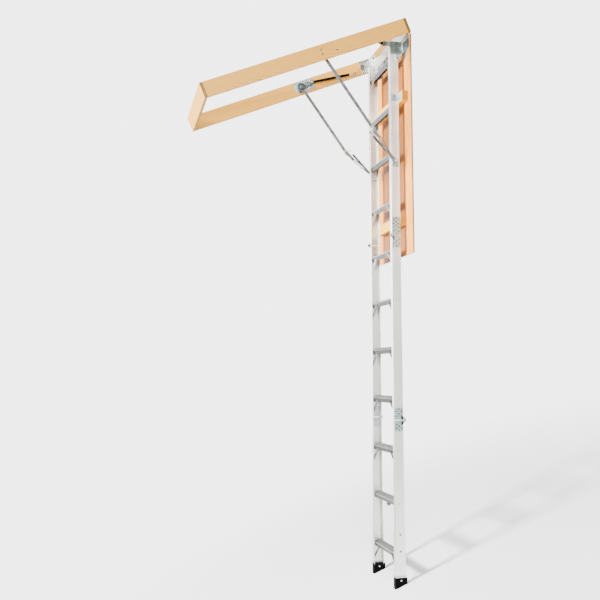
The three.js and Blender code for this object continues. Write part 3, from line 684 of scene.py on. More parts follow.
def corner_bracket(side):
    sign = SIDES[side]
    node = "corner_bracket_" + side
    refined(node, node + "_plate", "zinc", 0.7)
    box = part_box(node)
    wall = outermost(box, sign) - sign * SHEET
    wall_plates(f"corner_dull_{side}", sign, wall, "dull_zinc", ((-111, -100, -40, -2), (-67, -60, -40, -6)))
    wall_plates(f"corner_bright_{side}", sign, wall, "strap", ((-92, -70, -40, 3),))
    lines = ((-97, -93, -36, 0), (-80, -76, -36, 0))
    wall_plates(f"corner_line_{side}", sign, wall, "foot_zinc", lines, 1.4)
    inner = innermost(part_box("frame_side_board_" + side), sign)
    end_face = box[1].x - SHEET
    screws = on_wall(wall, -sign, ((-40, 30), (-40, -30), (-96, 30), (-50, 4), (-102, -28)))
    screws += [((end_face, inner - sign * y, z), (-1, 0, 0)) for y, z in mm((30, -30), (66, -28), (30, 33))]
    fasteners(f"corner_screws_{side}", "frame", screws, pan_head, radius=4.4)
    bolt = [((end_face, inner - sign * 56 * MM, 24 * MM), (-1, 0, 0))]
    fasteners(f"corner_bolt_{side}", "frame", bolt, hex_head, radius=7.4, height=5.6)


def arm_bracket(side):
    sign = SIDES[side]
    node = "arm_bracket_" + side
    refined(node, node + "_plate", "fold_zinc", 0.6)
    wall = outermost(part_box(node), sign) - sign * SHEET
    places = on_wall(wall, -sign, BOARD_BOLTS + ((-490, 28), (-545, 34)))
    fasteners(f"arm_bracket_bolts_{side}", "frame", places, pan_head, radius=5.2)


def piano_hinge():
    refined("hinge_leaf_header", "hinge_leaf_header_sheet", "zinc", 0.25)
    refined("hinge_leaf_door", "hinge_leaf_door_sheet", "zinc", 0.25, LADDER)


# ---- Door --------------------------------------------------------------------------------


def door():
    refined("door_panel", "door_panel_wood", "panel", 0.8, LADDER, "plywood")
    face = ladder_box("door_panel")[1].x - 0.15 * MM
    screws = []
    for node in ("door_batten_upper", "door_batten_lower"):
        turn = LADDER @ axes((0, 0, 1), (1, 0, 0), (0, 1, 0))
        box = ladder_box(node)
        turn.translation = LADDER @ middle_of(box)
        refined(node, node + "_wood", "batten", 1.6, turn, "batten_pine", 3)
        for y in (-0.8, -0.3, 0.3, 0.8):
            for z in (-14 * MM, 14 * MM):
                screws.append((LADDER @ Vector((face, y * box[1].y, middle_of(box).z + z)), BACK))
    fasteners("door_screws", "door", screws, countersunk_head, radius=4)


PLATE_FACE = HALF + 3.3 * MM


def on_foot(sign, x, level, points):
    """Places on a bracket's foot against the door, at (outwards, up) in millimetres, facing the steps."""
    return [(LADDER @ Vector((x, sign * (HALF + y), level + z)), -BACK) for y, z in mm(*points)]


def batten_bracket(side):
    sign = SIDES[side]
    node = "batten_bracket_" + side
    refined(node, node + "_angle", "blue_zinc", 0.6, LADDER)
    level = middle_of(ladder_box(node)).z
    bolt = on_side(sign, PLATE_FACE, ((0, 0),), x=MIDDLE, z=level)
    fasteners(f"batten_bolt_{side}", "door", bolt, hex_head, radius=7, height=5.4)
    screws = on_foot(sign, REAR - SHEET, level, ((16, 0), (29, 11), (29, -11)))
    fasteners(f"batten_screws_{side}", "door", screws, pan_head, radius=4)


def hinge_plate(side):
    """The plate that hangs the ladder from the door: web, dark layer, beads, stop, foot and fasteners."""
    sign = SIDES[side]
    node = "hinge_plate_" + side
    refined(node, node + "_web", "zinc", 0.6, LADDER)
    low, high = ladder_box(node)
    lug = -31 * MM
    bm = bmesh.new()
    outline = mm((-88, -14.5), (-9, -14.5), (2.5, -23), (2.5, -59), (-21, -92), (-88, -92))
    across(bm, rounded(outline, 3 * MM), sign, PLATE_FACE - 0.3 * MM, PLATE_FACE + 1.2 * MM)
    finished(f"hinge_plate_layer_{side}", bm, "dull_zinc", LADDER, 0.4, "door", segments=2)
    hinge_stop(side, low.x - 8 * MM, lug)
    hinge_foot(side, high.x)
    hinge_beads(side)

    bolt = on_side(sign, PLATE_FACE + 1.2 * MM, ((17, 0),), x=low.x, z=lug)
    fasteners(f"hinge_plate_bolt_{side}", "door", bolt, hex_head, radius=8.2, height=6)
    inside = ((-78, -44), (-52, -40), (-78, -70), (-50, -72), (-78, -96), (-54, -104))
    rivets = on_side(sign, HALF - WEB, inside, -1)
    rivets += on_side(sign, PLATE_FACE + 1.2 * MM, ((-48, -24), (-76, -66), (-46, -82), (-22, -40)))
    rivets += on_side(sign, PLATE_FACE, ((-42, -112),))
    fasteners(f"hinge_plate_rivets_{side}", "door", rivets, dome, "rivet", radius=4.2, height=2)
    screws = on_foot(sign, high.x - 3.4 * MM, 0, ((18, -28), (42, -28), (30, -48)))
    fasteners(f"hinge_plate_screws_{side}", "door", screws, pan_head, "dark", radius=4)


def hinge_beads(side):
    """The plate's folded rear edge and the stiffening bead below it, both in bright zinc as painted
    highlight.
    """
    bm = bmesh.new()
    fold = mm((-14, -15), (-3, -20), (-3, -61), (-14, -72))
    across(bm, rounded(fold, 2 * MM), SIDES[side], PLATE_FACE, PLATE_FACE + 3 * MM)
    bead = mm((1.5, -64), (3.6, -68), (-41, -141), (-43.5, -137))
    across(bm, rounded(bead, MM), SIDES[side], PLATE_FACE - 0.3 * MM, PLATE_FACE + 4 * MM)
    finished(f"hinge_plate_beads_{side}", bm, "strap", LADDER, 0.7, "door", segments=2)


def hinge_stop(side, x, z):
    """A grey disc ahead of the lug and, on the right only, the black cone that it carries."""
    sign = SIDES[side]
    bm = bmesh.new()
    rim = PLATE_FACE + 1.6 * MM
    lathe(bm, [(0, HALF + MM), (19 * MM, HALF + MM), (19 * MM, rim), (17 * MM, rim + 0.8 * MM),
               (0, rim + 0.8 * MM)], side_axis(x, z, sign), 36)
    finished(f"hinge_stop_disc_{side}", bm, "bar", LADDER, 0.4, "door")
    if side == "right":
        bm = bmesh.new()
        lathe(bm, mm((0, 9), (11, 9), (11, 19), (4.4, 34), (2.4, 36), (0, 36)),
              facing((-1, 0, 0), (x, sign * (HALF + 2 * MM), z)), 32)
        finished("hinge_stop_right", bm, "rubber", LADDER, 0.5, "door", "black_rubber")


def hinge_foot(side, back):
    """The plate's foot on the door and, on the right only, a gusset under it with a strip of bright zinc
    along its edge as painted highlight.
    """
    sign = SIDES[side]
    near, far, top, low, tip = 3.8, 88, -13, -80, -154
    parts = [("foot", "foot_zinc", 3.4, ((near, top), (far, top), (far, low), (near, low - 12)))]
    if side == "right":
        # The bright zinc strip along the gusset's edge is a painted highlight.
        edge_highlight = ((far - 6, low - 3), (far + 1, low - 1), (near + 2, tip - 5), (near, tip + 5))
        parts += [("gusset", "dull_zinc", 2.6, ((near, low - 12.4), (far - 1, low - 0.6), (near, tip))),
                  ("edge", "strap", 7, edge_highlight)]
    for part, material, thick, outline in parts:
        bm = bmesh.new()
        points = [(sign * (HALF + y), z) for y, z in mm(*outline)]
        prism(bm, rounded(points, 1.2 * MM), back - thick * MM, back - 0.1 * MM, ALONG)
        finished(f"hinge_{part}_{side}", bm, material, LADDER, 0.4, "door")


# ---- Ladder sections ---------------------------------------------------------------------


GROOVE = mm((-0.9, 0), (-0.5, 0.45), (0.5, 0.45), (0.9, 0))


def channel(sign, front, rear, outer, web, lip, flange, grooves):
    """A channel's profile, web outside, with shallow grooves down its outer face."""
    points = [(front, outer)]
    for place in grooves:
        x = front + place * (rear - front)
        points += [(x + dx, outer - depth) for dx, depth in GROOVE]
    radii = [0.0] * len(points) + [r * MM for r in (1.4, 0.9, 0.9, 1.6, 1.6, 0.9, 0.9)]
    radii[0] = 1.4 * MM
    points += [(rear, outer), (rear, outer - flange), (rear - lip, outer - flange),
               (rear - lip, outer - web), (front + lip, outer - web), (front + lip, outer - flange),
               (front, outer - flange)]
    return [(p.x, sign * p.y) for p in rounded(points, radii)]


def rail(section, side):
    node = f"{section}_rail_{side}"
    low, high = ladder_box(node)
    bm = bmesh.new()
    prism(bm, channel(SIDES[side], FRONT, REAR, HALF, WEB, LIP, FLANGE, (0.16, 0.84)), low.z, high.z)
    finished(node + "_extrusion", bm, "aluminium", LADDER, 0.25, body_of(node), "aluminium", node, angle=60)


TREAD_TOP_RIBS = 9
RIB_DEPTH = 0.9 * MM
TREAD_HALF = HALF - WEB - 0.3 * MM
TREAD_DEPTH, TREAD_SHEET = 43 * MM, 2.5 * MM
TREAD_FRONT, TREAD_BACK = 30 * MM, 24 * MM
BRACED_HEIGHT = 75 * MM
COVERING = ("fold_upper_plate_top", "fold_upper_plate_low", "fold_lower_plate_top", "fold_lower_plate_low",
            "batten_bracket", "hinge_plate", "rail_clip")


def tread_profile(depth, front_fall, back_fall, sheet):
    """A sheet channel, flanges down, with a ribbed top and rounded nose; X back, Y up."""
    points = [(0, 0)]
    pitch = (depth - 8 * MM) / TREAD_TOP_RIBS
    for k in range(TREAD_TOP_RIBS):
        x = 4 * MM + k * pitch
        points += [(x + share * pitch, y) for share, y in (
            (0, 0), (0.25, -RIB_DEPTH), (0.6, -RIB_DEPTH), (0.85, 0))]
    ribs = len(points) - 1
    points += [(depth, 0), (depth, -back_fall), (depth - sheet, -back_fall), (depth - sheet, -sheet),
               (sheet, -sheet), (sheet, -front_fall), (0, -front_fall)]
    return rounded(points, [2.2 * MM] + [0.0] * ribs + [r * MM for r in (2.2, 0.8, 0.8, 1.2, 1.2, 0.8, 0.8)])


def nose_of(node):
    """Where a tread's top front edge is, on the middle line."""
    points = [v.co for v in frame["nodes"][node].data.vertices]
    top = max(p.z for p in points)
    return Vector((min(p.x for p in points if p.z > top - 0.1 * MM), 0, top))


def tread(number):
    node = f"tread_{number:02d}"
    body = body_of(node)
    nose = nose_of(node)
    matrix = axes((1, 0, 0), (0, 0, 1), (0, -1, 0), nose)
    bm = bmesh.new()
    prism(bm, tread_profile(TREAD_DEPTH, TREAD_FRONT, TREAD_BACK, TREAD_SHEET), -TREAD_HALF, TREAD_HALF)
    finished(node + "_sheet", bm, "tread", matrix, 0.3, body, "aluminium", node, angle=60)
    bm = bmesh.new()
    bead = rounded(mm((-0.4, -4), (0.4, -4), (4, -1), (4, 0.4), (-0.4, 0.4)), 0.4 * MM)
    prism(bm, bead, -TREAD_HALF + 1.5 * MM, TREAD_HALF - 1.5 * MM)
    finished(node + "_nose", bm, "nose", matrix, 0.2, body, "aluminium")
    tread_ends(node, body, nose)
    low, high = ladder_box(node)
    if high.z - low.z > BRACED_HEIGHT:
        braces(node, body, nose, "strap" if number < 6 else "bar")


def tread_ends(node, body, nose):
    """Folded end tabs under the tread, riveted to the rails' webs."""
    bm = bmesh.new()
    places = []
    for sign in SIDES.values():
        tab = rounded(mm((4, -3), (38, -3), (34, -26), (10, -26)), 4 * MM)
        across(bm, tab, sign, TREAD_HALF - 1.8 * MM, TREAD_HALF)
        for x in (14 * MM, 30 * MM):
            places.append((nose + Vector((x, sign * (TREAD_HALF - 1.8 * MM), -14 * MM)), (0, -sign, 0)))
            places.append((nose + Vector((x, sign * HALF, -14 * MM)), (0, sign, 0)))
    finished(node + "_tabs", bm, "tread", Matrix.Translation(nose), 0.3, body, "aluminium")
    places = [place for place in places if plain_rail(place[0])]
    if places:
        fasteners(node + "_rivets", body, places, dome, slot="aluminium", radius=3.4, height=0.9)


def plain_rail(point):
    """True where no bracket or fold plate covers the outside of the rail."""
    height = (LADDER.inverted() @ Vector(point)).z
    covered = [ladder_box(f"{node}_right") for node in COVERING]
    return all(not low.z - 6 * MM < height < high.z + 6 * MM for low, high in covered)


def braces(node, body, nose, material):
    """Bent straps from under the tread out to the rails, with riveted feet."""
    corner = LADDER.inverted() @ nose
    bm = bmesh.new()
    feet = []
    for sign in SIDES.values():
        bends = mm((96, -17), (84, -19), (76, -25), (8, -82), (2.6, -90), (1.9, -99))
        path = ribbon([(TREAD_HALF - inwards, z) for inwards, z in bends], 3.6 * MM)
        strap = [(sign * p.x, p.y + corner.z) for p in path]
        prism(bm, strap, corner.x + 0.4 * MM, corner.x + 11.6 * MM, ALONG)
        feet += on_side(sign, TREAD_HALF - 3.4 * MM, ((6, -93),), -1, corner.x, corner.z)
    finished(node + "_braces", bm, material, LADDER, 0.5, body, "aluminium", segments=2)
    fasteners(node + "_brace_rivets", body, feet, dome, slot="aluminium", radius=3.4, height=1.6)


def torus(bm, radius, wire, around=48, section=12):
    rings = []
    for k in range(around):
        turn = 2 * math.pi * k / around
        angles = [2 * math.pi * j / section for j in range(section)]
        spots = [(radius + wire * math.cos(a), wire * math.sin(a)) for a in angles]
        rings.append([bm.verts.new((r * math.cos(turn), r * math.sin(turn), z)) for r, z in spots])
    for k in range(around):
        here, ahead = rings[k], rings[(k + 1) % around]
        for j in range(section):
            bm.faces.new((here[j], ahead[j], ahead[(j + 1) % section], here[(j + 1) % section]))


def hanging_ring():
    """The wire ring and the punched tab that it hangs from."""
    low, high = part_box("tread_ring")
    wire = (high.z - low.z) / 2
    bm = bmesh.new()
    torus(bm, (high.x - low.x) / 2 - wire, wire)
    piece = new_object("tread_ring_wire", bm, MATERIALS["bar"], Matrix.Translation(middle_of((low, high))))
    attach(piece, "ring", "steel", "tread_ring")
    bm = bmesh.new()
    nose = nose_of("tread_10")
    tab = rounded(mm((-8, -1.5), (-6, -39.5), (6, -39.5), (8, -1.5)), 3 * MM)
    prism(bm, tab, 13 * MM, 15 * MM, Matrix.Translation(nose) @ ALONG)
    piece = new_object("ring_tab", bm, MATERIALS["zinc"], LEVEL, smooth=False)
    hole = bmesh.new()
    lathe(hole, mm((0, 8), (3.6, 8), (3.6, 20), (0, 20)),
          Matrix.Translation(nose + Vector((0, 0, -34 * MM))) @ ALONG, 24)
    attach(soften(cut_away(piece, hole), 0.3), body_of("tread_10"), "aluminium")


# ---- Fold hinges -------------------------------------------------------------------------


def fold_hinge(joint, side):
    """The two plates of one fold: one riveted on the upper rail, one a layer further out."""
    sign = SIDES[side]
    axis = LADDER.inverted() @ pivot_of(joint)
    upper, lower = f"{joint}_plate_top_{side}", f"{joint}_plate_low_{side}"
    top = ladder_box(upper)[1].z
    bottom = ladder_box(lower)[0].z
    face = OUTSIDE + 0.3 * MM
    upper_plate(upper, sign, axis, top)
    lower_plate(lower, sign, axis, bottom, face)
    for node, out, near, far in ((upper, OUTSIDE, axis.z + 24 * MM, top),
                                 (lower, face + SHEET, axis.z - 26 * MM, bottom)):
        fasteners(f"{node}_rivets", body_of(node), rivet_rows(sign, out, near, far), collared_rivet, "rivet",
                  radius=4.4)
    nut = on_side(sign, LAYER - 2.4 * MM, ((0, 0),), -1, axis.x, axis.z)
    fasteners(f"{lower}_nut", body_of(lower), nut, dome, "blue_steel", radius=7, height=4)
    liner(sign, upper, axis.z + 6 * MM, top - 6 * MM)
    liner(sign, lower, bottom + 6 * MM, axis.z - 6 * MM)


def upper_plate(node, sign, axis, top):
    bm = bmesh.new()
    rounded_plate(bm, sign, FRONT + 2 * MM, REAR - 2 * MM, axis.z + 3 * MM, top, LAYER, OUTSIDE, 7 * MM)
    across(bm, ear_outline(axis, 11 * MM, 1), sign, LAYER, OUTSIDE)
    piece = new_object(node + "_sheet", bm, MATERIALS["fold_zinc"], LADDER)
    hole = bmesh.new()
    disc(hole, axis.x, axis.z, sign, 5 * MM, LAYER - SHEET, OUTSIDE + SHEET)
    attach(soften(cut_away(piece, hole), 0.4, 2), body_of(node), ZINC, node)


def lower_plate(node, sign, axis, bottom, face):
    """The outer plate, packed out to the rail, with the fold's pivot rivet."""
    bm = bmesh.new()
    out = face + SHEET
    rounded_plate(bm, sign, FRONT + 3 * MM, REAR - 3 * MM, bottom, axis.z - 5 * MM, face, out, 7 * MM)
    rounded_plate(bm, sign, FRONT + 5 * MM, REAR - 5 * MM, bottom + MM, axis.z - 17 * MM, LAYER - 0.3 * MM,
                  face, 5 * MM)
    across(bm, ear_outline(axis, 10 * MM, -1), sign, face, out)
    disc(bm, axis.x, axis.z, sign, 4.5 * MM, LAYER - 3 * MM, out)
    ends = ((LAYER - 2.2 * MM, -1, 4.4 * MM, 0.8 * MM), (out, 1, 6.4 * MM, 2.4 * MM))
    for height, way, radius, rise in ends:
        dome(bm, rivet_end(axis.x, axis.z, sign, height, way), radius, rise)
    finished(node + "_sheet", bm, "fold_zinc", LADDER, 0.4, body_of(node), ZINC, node, segments=2)


def rivet_end(x, z, sign, distance, way):
    """A frame at a distance from the middle, with Z pointing out of the side, or in where way is -1."""
    return side_axis(x, z, sign) @ Matrix.Translation((0, 0, distance)) @ Matrix.Diagonal((1, way, way, 1))


def ear_outline(axis, radius, way):
    """The plate's ear round its pivot, running straight into the plate."""
    side_x = 1 if axis.x < MIDDLE else -1
    reach = 20 * MM
    arc = [(axis.x - side_x * radius * math.cos(a), axis.z - way * radius * math.sin(a))
           for a in (math.pi / 2 * k / 10 for k in range(11))]
    return [(axis.x + side_x * reach, axis.z + way * 1.6 * reach),
            (axis.x - side_x * radius, axis.z + way * 6 * MM), *arc,
            (axis.x + side_x * radius, axis.z - way * 0.3 * radius),
            (axis.x + side_x * reach, axis.z + way * 4 * MM)]


def rivet_rows(sign, face, near, far):
    """Three staggered columns of rivets between two heights on a plate's face."""
    away = 1 if far > near else -1
    count = max(2, round(abs(far - near) / (20 * MM)))
    places = []
    for column, x in enumerate((FRONT + 12 * MM, MIDDLE, REAR - 12 * MM)):
        for k in range(count):
            step = (k + 0.5 * (column == 1)) / (count - 0.5)
            height = near + (far - away * 8 * MM - near) * step
            places += on_side(sign, face, ((0, 0),), x=x, z=height)
    return places


def liner(sign, node, low, high):
    """Thin plate inside the rail that the rivets of a fold plate pass through."""
    bm = bmesh.new()
    depth = HALF - WEB
    inside = depth - 1.4 * MM
    rounded_plate(bm, sign, FRONT + 5.4 * MM, REAR - 5.4 * MM, low, high, inside, depth - 0.1 * MM, 5 * MM)
    for x in (FRONT + 12 * MM, REAR - 12 * MM):
        for z in (low + 9 * MM, (low + high) / 2, high - 9 * MM):
            dome(bm, rivet_end(x, z, sign, inside, -1), 3.4 * MM, 1.5 * MM)
    finished(node + "_liner", bm, "zinc", LADDER, 0.25, body_of(node))


# ---- Feet --------------------------------------------------------------------------------


def leg(side):
    """The outer channel on the rail's end, with its bolts and a bright collar over the shoe."""
    sign = SIDES[side]
    node = "leg_" + side
    body = body_of(node)
    low, high = box = ladder_box(node)
    outer = sign * outermost(box, sign)
    inner = sign * innermost(box, sign)
    sheet = 2.2 * MM
    bm = bmesh.new()
    profile = channel(sign, low.x, high.x, outer, sheet, sheet, outer - inner, (0.12, 0.5, 0.88))
    prism(bm, profile, low.z, high.z)
    finished(node + "_extrusion", bm, "aluminium", LADDER, 0.3, body, "aluminium", node, angle=60)

    top = high.z - 22 * MM
    bolts = on_side(sign, outer, ((0, 0), (0, -95)), x=MIDDLE, z=top)
    fasteners(f"leg_bolts_{side}", body, bolts, hex_head, "bar", radius=4.6, height=4)
    front = [(LADDER @ Vector((low.x, sign * (outer - 13 * MM), top - d * MM)), -BACK) for d in (4, 88, 170)]
    fasteners(f"leg_front_rivets_{side}", body, front, dome, "dark", radius=3, height=1.4)

    bm = bmesh.new()
    over_shoe = ladder_box("shoe_" + side)[1].z
    prism(bm, strap_around(sign, low.x, high.x, inner, outer, 0.8 * MM), over_shoe + 0.4 * MM,
          over_shoe + 13 * MM)
    finished(f"leg_collar_{side}", bm, "bolt", LADDER, 0.2, body, angle=60)


def strap_around(sign, front, rear, inner, outer, band):
    """A thin strap's outline round a rail's front, outer and back faces, just clear of them."""
    far, gap = outer + band, 0.1 * band
    points = [(front - band, inner), (front - band, far), (rear + band, far), (rear + band, inner),
              (rear + gap, inner), (rear + gap, outer + gap), (front - gap, outer + gap),
              (front - gap, inner)]
    return [(x, sign * y) for x, y in points]


def shoe_floor():
    """Height of the level sole at a distance X, in the ladder's own axes."""
    point = LADDER.inverted() @ Vector((0, 0, FLOOR))
    way = LADDER.inverted().to_3x3() @ Vector((1, 0, 0))
    return lambda x: point.z + (x - point.x) * way.z / way.x


def shoe(side):
    """The moulded boot: rounded, with ribs on its outer face, a rim and a white-metal bolt."""
    sign = SIDES[side]
    node = "shoe_" + side
    refined(node, node + "_boot", "rubber", 1.8, LEVEL, "black_rubber", 3)
    low, high = ladder_box(node)
    outer = HALF + 5.3 * MM
    floor_line = shoe_floor()
    bm = bmesh.new()
    for part, broad in ((0.10, 4 * MM), (0.3, 2.4 * MM), (0.72, 2.4 * MM), (0.9, 4 * MM)):
        x = low.x + part * (high.x - low.x)
        bottom = floor_line(x) + 6 * MM
        if bottom < high.z - 16 * MM:
            rounded_plate(bm, sign, x - broad / 2, x + broad / 2, bottom, high.z - 9 * MM, outer - MM,
                          outer + 1.1 * MM, MM, 4)
    rounded_plate(bm, sign, low.x + 1.5 * MM, high.x - 1.5 * MM, high.z - 6 * MM, high.z - 1.6 * MM,
                  outer - MM, outer + 1.3 * MM, MM, 4)
    bm.transform(LADDER)
    finished(f"shoe_ribs_{side}", bm, "rubber", LEVEL, 0.5, body_of(node), "black_rubber", segments=2)
    places = on_side(sign, outer + 0.4 * MM, ((0, -14),), 1, MIDDLE, high.z)
    places += on_side(sign, HALF - 30.4 * MM, ((0, -18),), -1, MIDDLE, high.z)
    fasteners(f"shoe_bolt_{side}", body_of(node), places, hex_nut, radius=5.2, height=4.4)


# ---- Arms and gas struts -----------------------------------------------------------------


def support_arm(side):
    """The arm's bar, its sliding clip, the knee's lower link and what fastens them."""
    sign = SIDES[side]
    arm = "upper_arm_" + side
    pivot = pivot_of(arm)
    turn = facing(axis_of("arm_sleeve_" + side), pivot)
    refined(arm, arm + "_bar", "bar", 0.9, turn, "steel", 3)
    refined("arm_sleeve_" + side, "arm_sleeve_clip_" + side, "strap", 0.7, turn)
    refined("lower_link_" + side, "lower_link_bar_" + side, "bar", 0.7, turn, "steel")
    link_lines(side)

    faces = sorted(abs(corner.y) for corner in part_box(arm))
    for name, make, material, distance, sizes in (
            ("arm_hub_disc_", hub_disc, "rivet", faces[0] + 0.2 * MM, {"radius": 26}),
            ("arm_hub_", hex_head, "dull_zinc", faces[0] - MM, {"radius": 8, "height": 4})):
        fasteners(name + side, body_of(arm), beside(pivot, sign, distance, -1), make, material, **sizes)
    crank_end(side, arm, faces)
    knee(side)
    rail_clip(side)


def flat_faces(node):
    """Distances from the middle of the two faces that hold most of a bar's corners."""
    counts = {}
    for vertex in frame["nodes"][node].data.vertices:
        distance = round(abs(vertex.co.y), 4)
        counts[distance] = counts.get(distance, 0) + 1
    return sorted(sorted(counts, key=counts.get)[-2:])


def link_lines(side):
    """A pressed ridge down each face of the knee's lower link, bright as painted highlight on the right and
    dark as painted shade on the left, between two dark strips of painted shade for its grooves.
    """
    node = "lower_link_" + side
    pivot = pivot_of(node)
    half_way = middle_of(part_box(node)) - pivot
    half_way.y = 0
    along = half_way.normalized()
    aside = Vector((along.z, 0, -along.x))
    ends = (pivot + along * 20 * MM, pivot + along * (2 * half_way.length - 30 * MM))
    inner, outer = flat_faces(node)
    # Bright on the right as painted highlight, dark on the left as painted shade; the two dark strips beside
    # it are painted shade.
    rib_painted_light = "nose" if side == "right" else "rivet"
    parts = (("channel_shade", "rivet", 2.4 * MM, (-4.6 * MM, 4.6 * MM), 0.25 * MM),
             ("rib_painted_light", rib_painted_light, 1.9 * MM, (0,), 0.7 * MM))
    for part, material, half, offsets, lift in parts:
        bm = bmesh.new()
        for offset in offsets:
            corners = [ends[0] - aside * (half - offset), ends[0] + aside * (half + offset),
                       ends[1] + aside * (half + offset), ends[1] - aside * (half - offset)]
            across(bm, [(c.x, c.z) for c in corners], SIDES[side], inner - lift, outer + lift)
        finished(f"link_{part}_{side}", bm, material, LEVEL, 0.2, body_of(node), "steel")


def crank_end(side, arm, faces):
    """The stud on the crank, with a nut on its inner face."""
    sign = SIDES[side]
    end = strut_end(side)
    stud = beside(end, sign, faces[1] - 0.3 * MM, 1)
    nut = beside(end, sign, faces[0] + 0.1 * MM, -1)
    fasteners(f"crank_stud_{side}", body_of(arm), stud, dome, radius=5.5, height=5.4)
    fasteners(f"crank_nut_{side}", body_of(arm), nut, hex_head, radius=5.6, height=3.8)


def strut_end(side):
    """The far end of the gas strut's cylinder, on the strut's own line."""
    stud = pivot_of("strut_rod_" + side)
    axis = axis_of("strut_cylinder_" + side)
    reach = [(v.co - stud).dot(axis) for v in frame["nodes"]["strut_cylinder_" + side].data.vertices]
    return stud + axis * max(reach, key=abs)


def knee(side):
    """Rivet heads of the knee, on the sleeve and on the link."""
    sign = SIDES[side]
    sleeve, link = "arm_sleeve_" + side, "lower_link_" + side
    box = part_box(sleeve)
    centre = middle_of(box) - axis_of(sleeve) * 8 * MM
    outer = beside(centre, sign, sign * outermost(box, sign), 1)
    fasteners(f"knee_rivet_{side}", sleeve, outer, hex_head, radius=6, height=3.6)
    inner = beside(centre, sign, flat_faces(link)[0], -1)
    fasteners(f"link_rivet_{side}", link, inner, dome, radius=6, height=2.6)


def rail_clip(side):
    """The clip on the rail: a bent plate with rivets and the stud's nut."""
    sign = SIDES[side]
    node = "rail_clip_" + side
    body = body_of(node)
    refined(node, node + "_plate", "fold_zinc", 0.6, LADDER)
    centre = LADDER.inverted() @ pivot_of("lower_link_" + side)
    end = sign * outermost(ladder_box(node), sign) - 0.2 * MM
    nut = on_side(sign, end, ((0, 0),), x=centre.x, z=centre.z)
    fasteners(f"clip_nut_{side}", body, nut, hex_head, "strap", radius=6.4, height=4)
    rivets = on_side(sign, OUTSIDE, ((-13, -24), (10, -27), (-15, 26)), 1, centre.x, centre.z)
    rivets += on_side(sign, HALF - WEB, ((-6, 0), (-2, -24), (14, -24)), -1, centre.x, centre.z)
    fasteners(f"clip_rivets_{side}", body, rivets, dome, "rivet", radius=4.6, height=1.8)


def gas_strut(side):
    """The black cylinder and the bright rod, both along the strut's own line."""
    stud = pivot_of("strut_rod_" + side)
    end = strut_end(side)
    turn = facing((end - stud).normalized(), stud)
    strut_cylinder(side, turn, (end - stud).length)
    strut_rod(side, turn, (end - stud).length, stud)


def strut_cylinder(side, turn, length):
    node = "strut_cylinder_" + side
    outer, bore, mouth = 8.5 * MM, 5.5 * MM, 44 * MM
    profile = [(0, length - 12 * MM), (bore, length - 12 * MM), (bore, mouth + MM), (bore + 0.6 * MM, mouth)]
    profile += [(outer - inset, mouth + rise) for inset, rise in mm(
        (1.8, 0), (0.6, 1.4), (0, 4), (0, 11), (0.7, 12.4), (0.7, 14), (0, 15.4))]
    profile += [(outer - inset, length - fall) for inset, fall in mm(
        (0, 14), (0.4, 12), (0.4, 6), (1.2, 3), (3.4, 0.4))]
    bm = bmesh.new()
    lathe(bm, profile + [(0, length)], LEVEL, 48)
    finished(f"gas_cylinder_{side}", bm, "cylinder", turn, 0.2, body_of(node), "black_paint", node, angle=50)


def strut_rod(side, turn, length, stud):
    """The rod with its collar, its eye on the stud, the stud to the board and a dark cap."""
    sign = SIDES[side]
    node = "strut_rod_" + side
    rod = 4 * MM
    bm = bmesh.new()
    lathe(bm, [(0, 7 * MM), (rod, 7 * MM), (rod, length - 20.6 * MM), (rod - 0.6 * MM, length - 20 * MM),
               (0, length - 20 * MM)], LEVEL, 40)
    lathe(bm, mm((0, 6), (5.6, 7.4), (5.6, 17), (4.9, 18.4), (0, 18.4)), LEVEL, 40)
    eye = turn.inverted() @ facing((0, sign, 0), stud)
    lathe(bm, mm((0, -4), (7.8, -4), (9, -2.6), (9, 2.6), (7.8, 4), (0, 4)), eye, 48)
    wall = 10 * MM + innermost(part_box("frame_side_board_" + side), sign) * sign - abs(stud.y)
    pin, tip = 4.5 * MM, 0.6 * MM
    lathe(bm, [(0, 3 * MM), (pin, 3 * MM), (pin, wall - tip), (pin - tip, wall), (0, wall)], eye, 40)
    finished(f"gas_rod_{side}", bm, "rod", turn, 0.15, body_of(node), "steel", node, angle=50)
    bm = bmesh.new()
    lathe(bm, mm((0, -5.2), (5.2, -5.2), (5.2, -4), (0, -4)), eye, 32)
    finished(f"gas_rod_cap_{side}", bm, "dark", turn, 0.3, body_of(node), "steel", angle=40)


# ---- The whole ladder --------------------------------------------------------------------

ceiling_frame()
piano_hinge()
door()
for section in ("upper", "middle", "bottom"):
    for side in SIDES:
        rail(section, side)
for number in range(1, 12):
    tread(number)
hanging_ring()
for side in SIDES:
    corner_bracket(side)
    arm_bracket(side)
    hinge_plate(side)
    batten_bracket(side)
    fold_hinge("fold_upper", side)
    fold_hinge("fold_lower", side)
    leg(side)
    shoe(side)
    support_arm(side)
    gas_strut(side)

# ---- Stage, lights and camera ------------------------------------------------------------

# The camera was solved from the object's own straight edges.
CAMERA_PLACE = (-2.4435, -4.6198, -1.2955)
CAMERA_RIGHT = (0.89579142, -0.23734412, -0.37579982)
CAMERA_UP = (0.36293333, -0.09750048, 0.92670009)
CAMERA_LENS = 46.857
CAMERA_SHIFT = (0.0047, -0.0054)
ROOM_LIGHT = 0.38
FLOOR_LIGHT = 1.5
BACKDROP = 4.5
FLOOR_CENTRE = (-1.3, 0, FLOOR)
FLOOR_FADE = (0.7, 3.4)


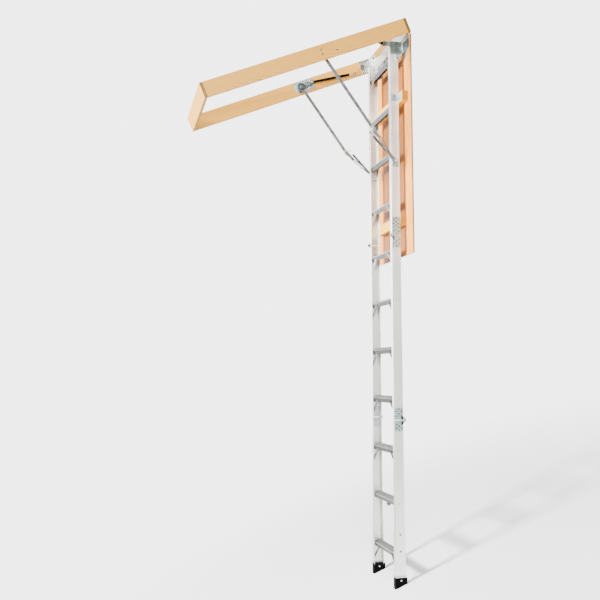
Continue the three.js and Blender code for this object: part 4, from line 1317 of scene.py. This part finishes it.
def camera():
    data = bpy.data.cameras.new("photo_camera")
    data.lens = CAMERA_LENS
    data.sensor_width = 36
    data.clip_end = 60
    data.shift_x, data.shift_y = CAMERA_SHIFT
    holder = bpy.data.objects.new("photo_camera", data)
    bpy.context.scene.collection.objects.link(holder)
    right, up = Vector(CAMERA_RIGHT), Vector(CAMERA_UP)
    holder.matrix_world = axes(right, up, right.cross(up), CAMERA_PLACE)
    bpy.context.scene.camera = holder


def area_light(name, place, target, size, power):
    data = bpy.data.lights.new(name, "AREA")
    data.shape = "SQUARE"
    data.size = size
    data.energy = power
    lamp = bpy.data.objects.new(name, data)
    bpy.context.scene.collection.objects.link(lamp)
    lamp.matrix_world = facing(Vector(place) - Vector(target), place)
    lamp.visible_camera = False


def room_strength(nodes, links, unseen):
    """A surrounding's own light, brighter where the camera sees it directly."""
    seen = nodes.new("ShaderNodeMapRange")
    seen.inputs["To Min"].default_value = unseen
    seen.inputs["To Max"].default_value = BACKDROP
    links.new(nodes.new("ShaderNodeLightPath").outputs["Is Camera Ray"], seen.inputs["Value"])
    return seen.outputs["Result"]


def fade_out(g):
    """Turns the floor into plain backdrop away from the ladder's foot."""
    nodes, links = g.tree.nodes, g.tree.links
    away = g.add("ShaderNodeVectorMath", {0: g.place, 1: FLOOR_CENTRE}, operation="DISTANCE")
    away = away.outputs["Value"]
    glow = g.add("ShaderNodeEmission", {"Strength": room_strength(nodes, links, FLOOR_LIGHT)})
    mixed = g.add("ShaderNodeMixShader", {0: g.range(away, *FLOOR_FADE), 1: g.shader.outputs["BSDF"],
                                          2: glow.outputs["Emission"]})
    links.new(mixed.outputs["Shader"], nodes["Material Output"].inputs["Surface"])


def stage():
    bm = bmesh.new()
    prism(bm, [(-9, -7), (8, -7), (8, 9), (-9, 9)], FLOOR - 0.02, FLOOR)
    g = Graph("studio_floor")
    paper = g.finish(g.mix(g.noise((0.6, 0.6, 0.6), detail=3.0), (0.86, 0.86, 0.86), (0.9, 0.9, 0.9)), 0.9)
    fade_out(g)
    new_object("studio_floor", bm, paper, LEVEL, smooth=False)

    world = bpy.data.worlds.new("studio")
    bpy.context.scene.world = world
    world.use_nodes = True
    nodes, links = world.node_tree.nodes, world.node_tree.links
    background = nodes["Background"]
    background.inputs["Color"].default_value = (1, 1, 1, 1)
    links.new(room_strength(nodes, links, ROOM_LIGHT), background.inputs["Strength"])
    area_light("key", (-4.4, -0.3, 1.8), (-0.6, 0, -1.3), 0.9, 1200)
    area_light("front", (-1.6, -5.4, 1.4), (-0.7, 0, -1.0), 2.0, 620)
    area_light("rim", (-2.0, 4.6, -0.4), (-0.7, 0, -1.5), 3.2, 220)
    area_light("fill", (1.6, -5.2, -1.4), (-0.7, 0, -1.2), 3.0, 40)


stage()
camera()
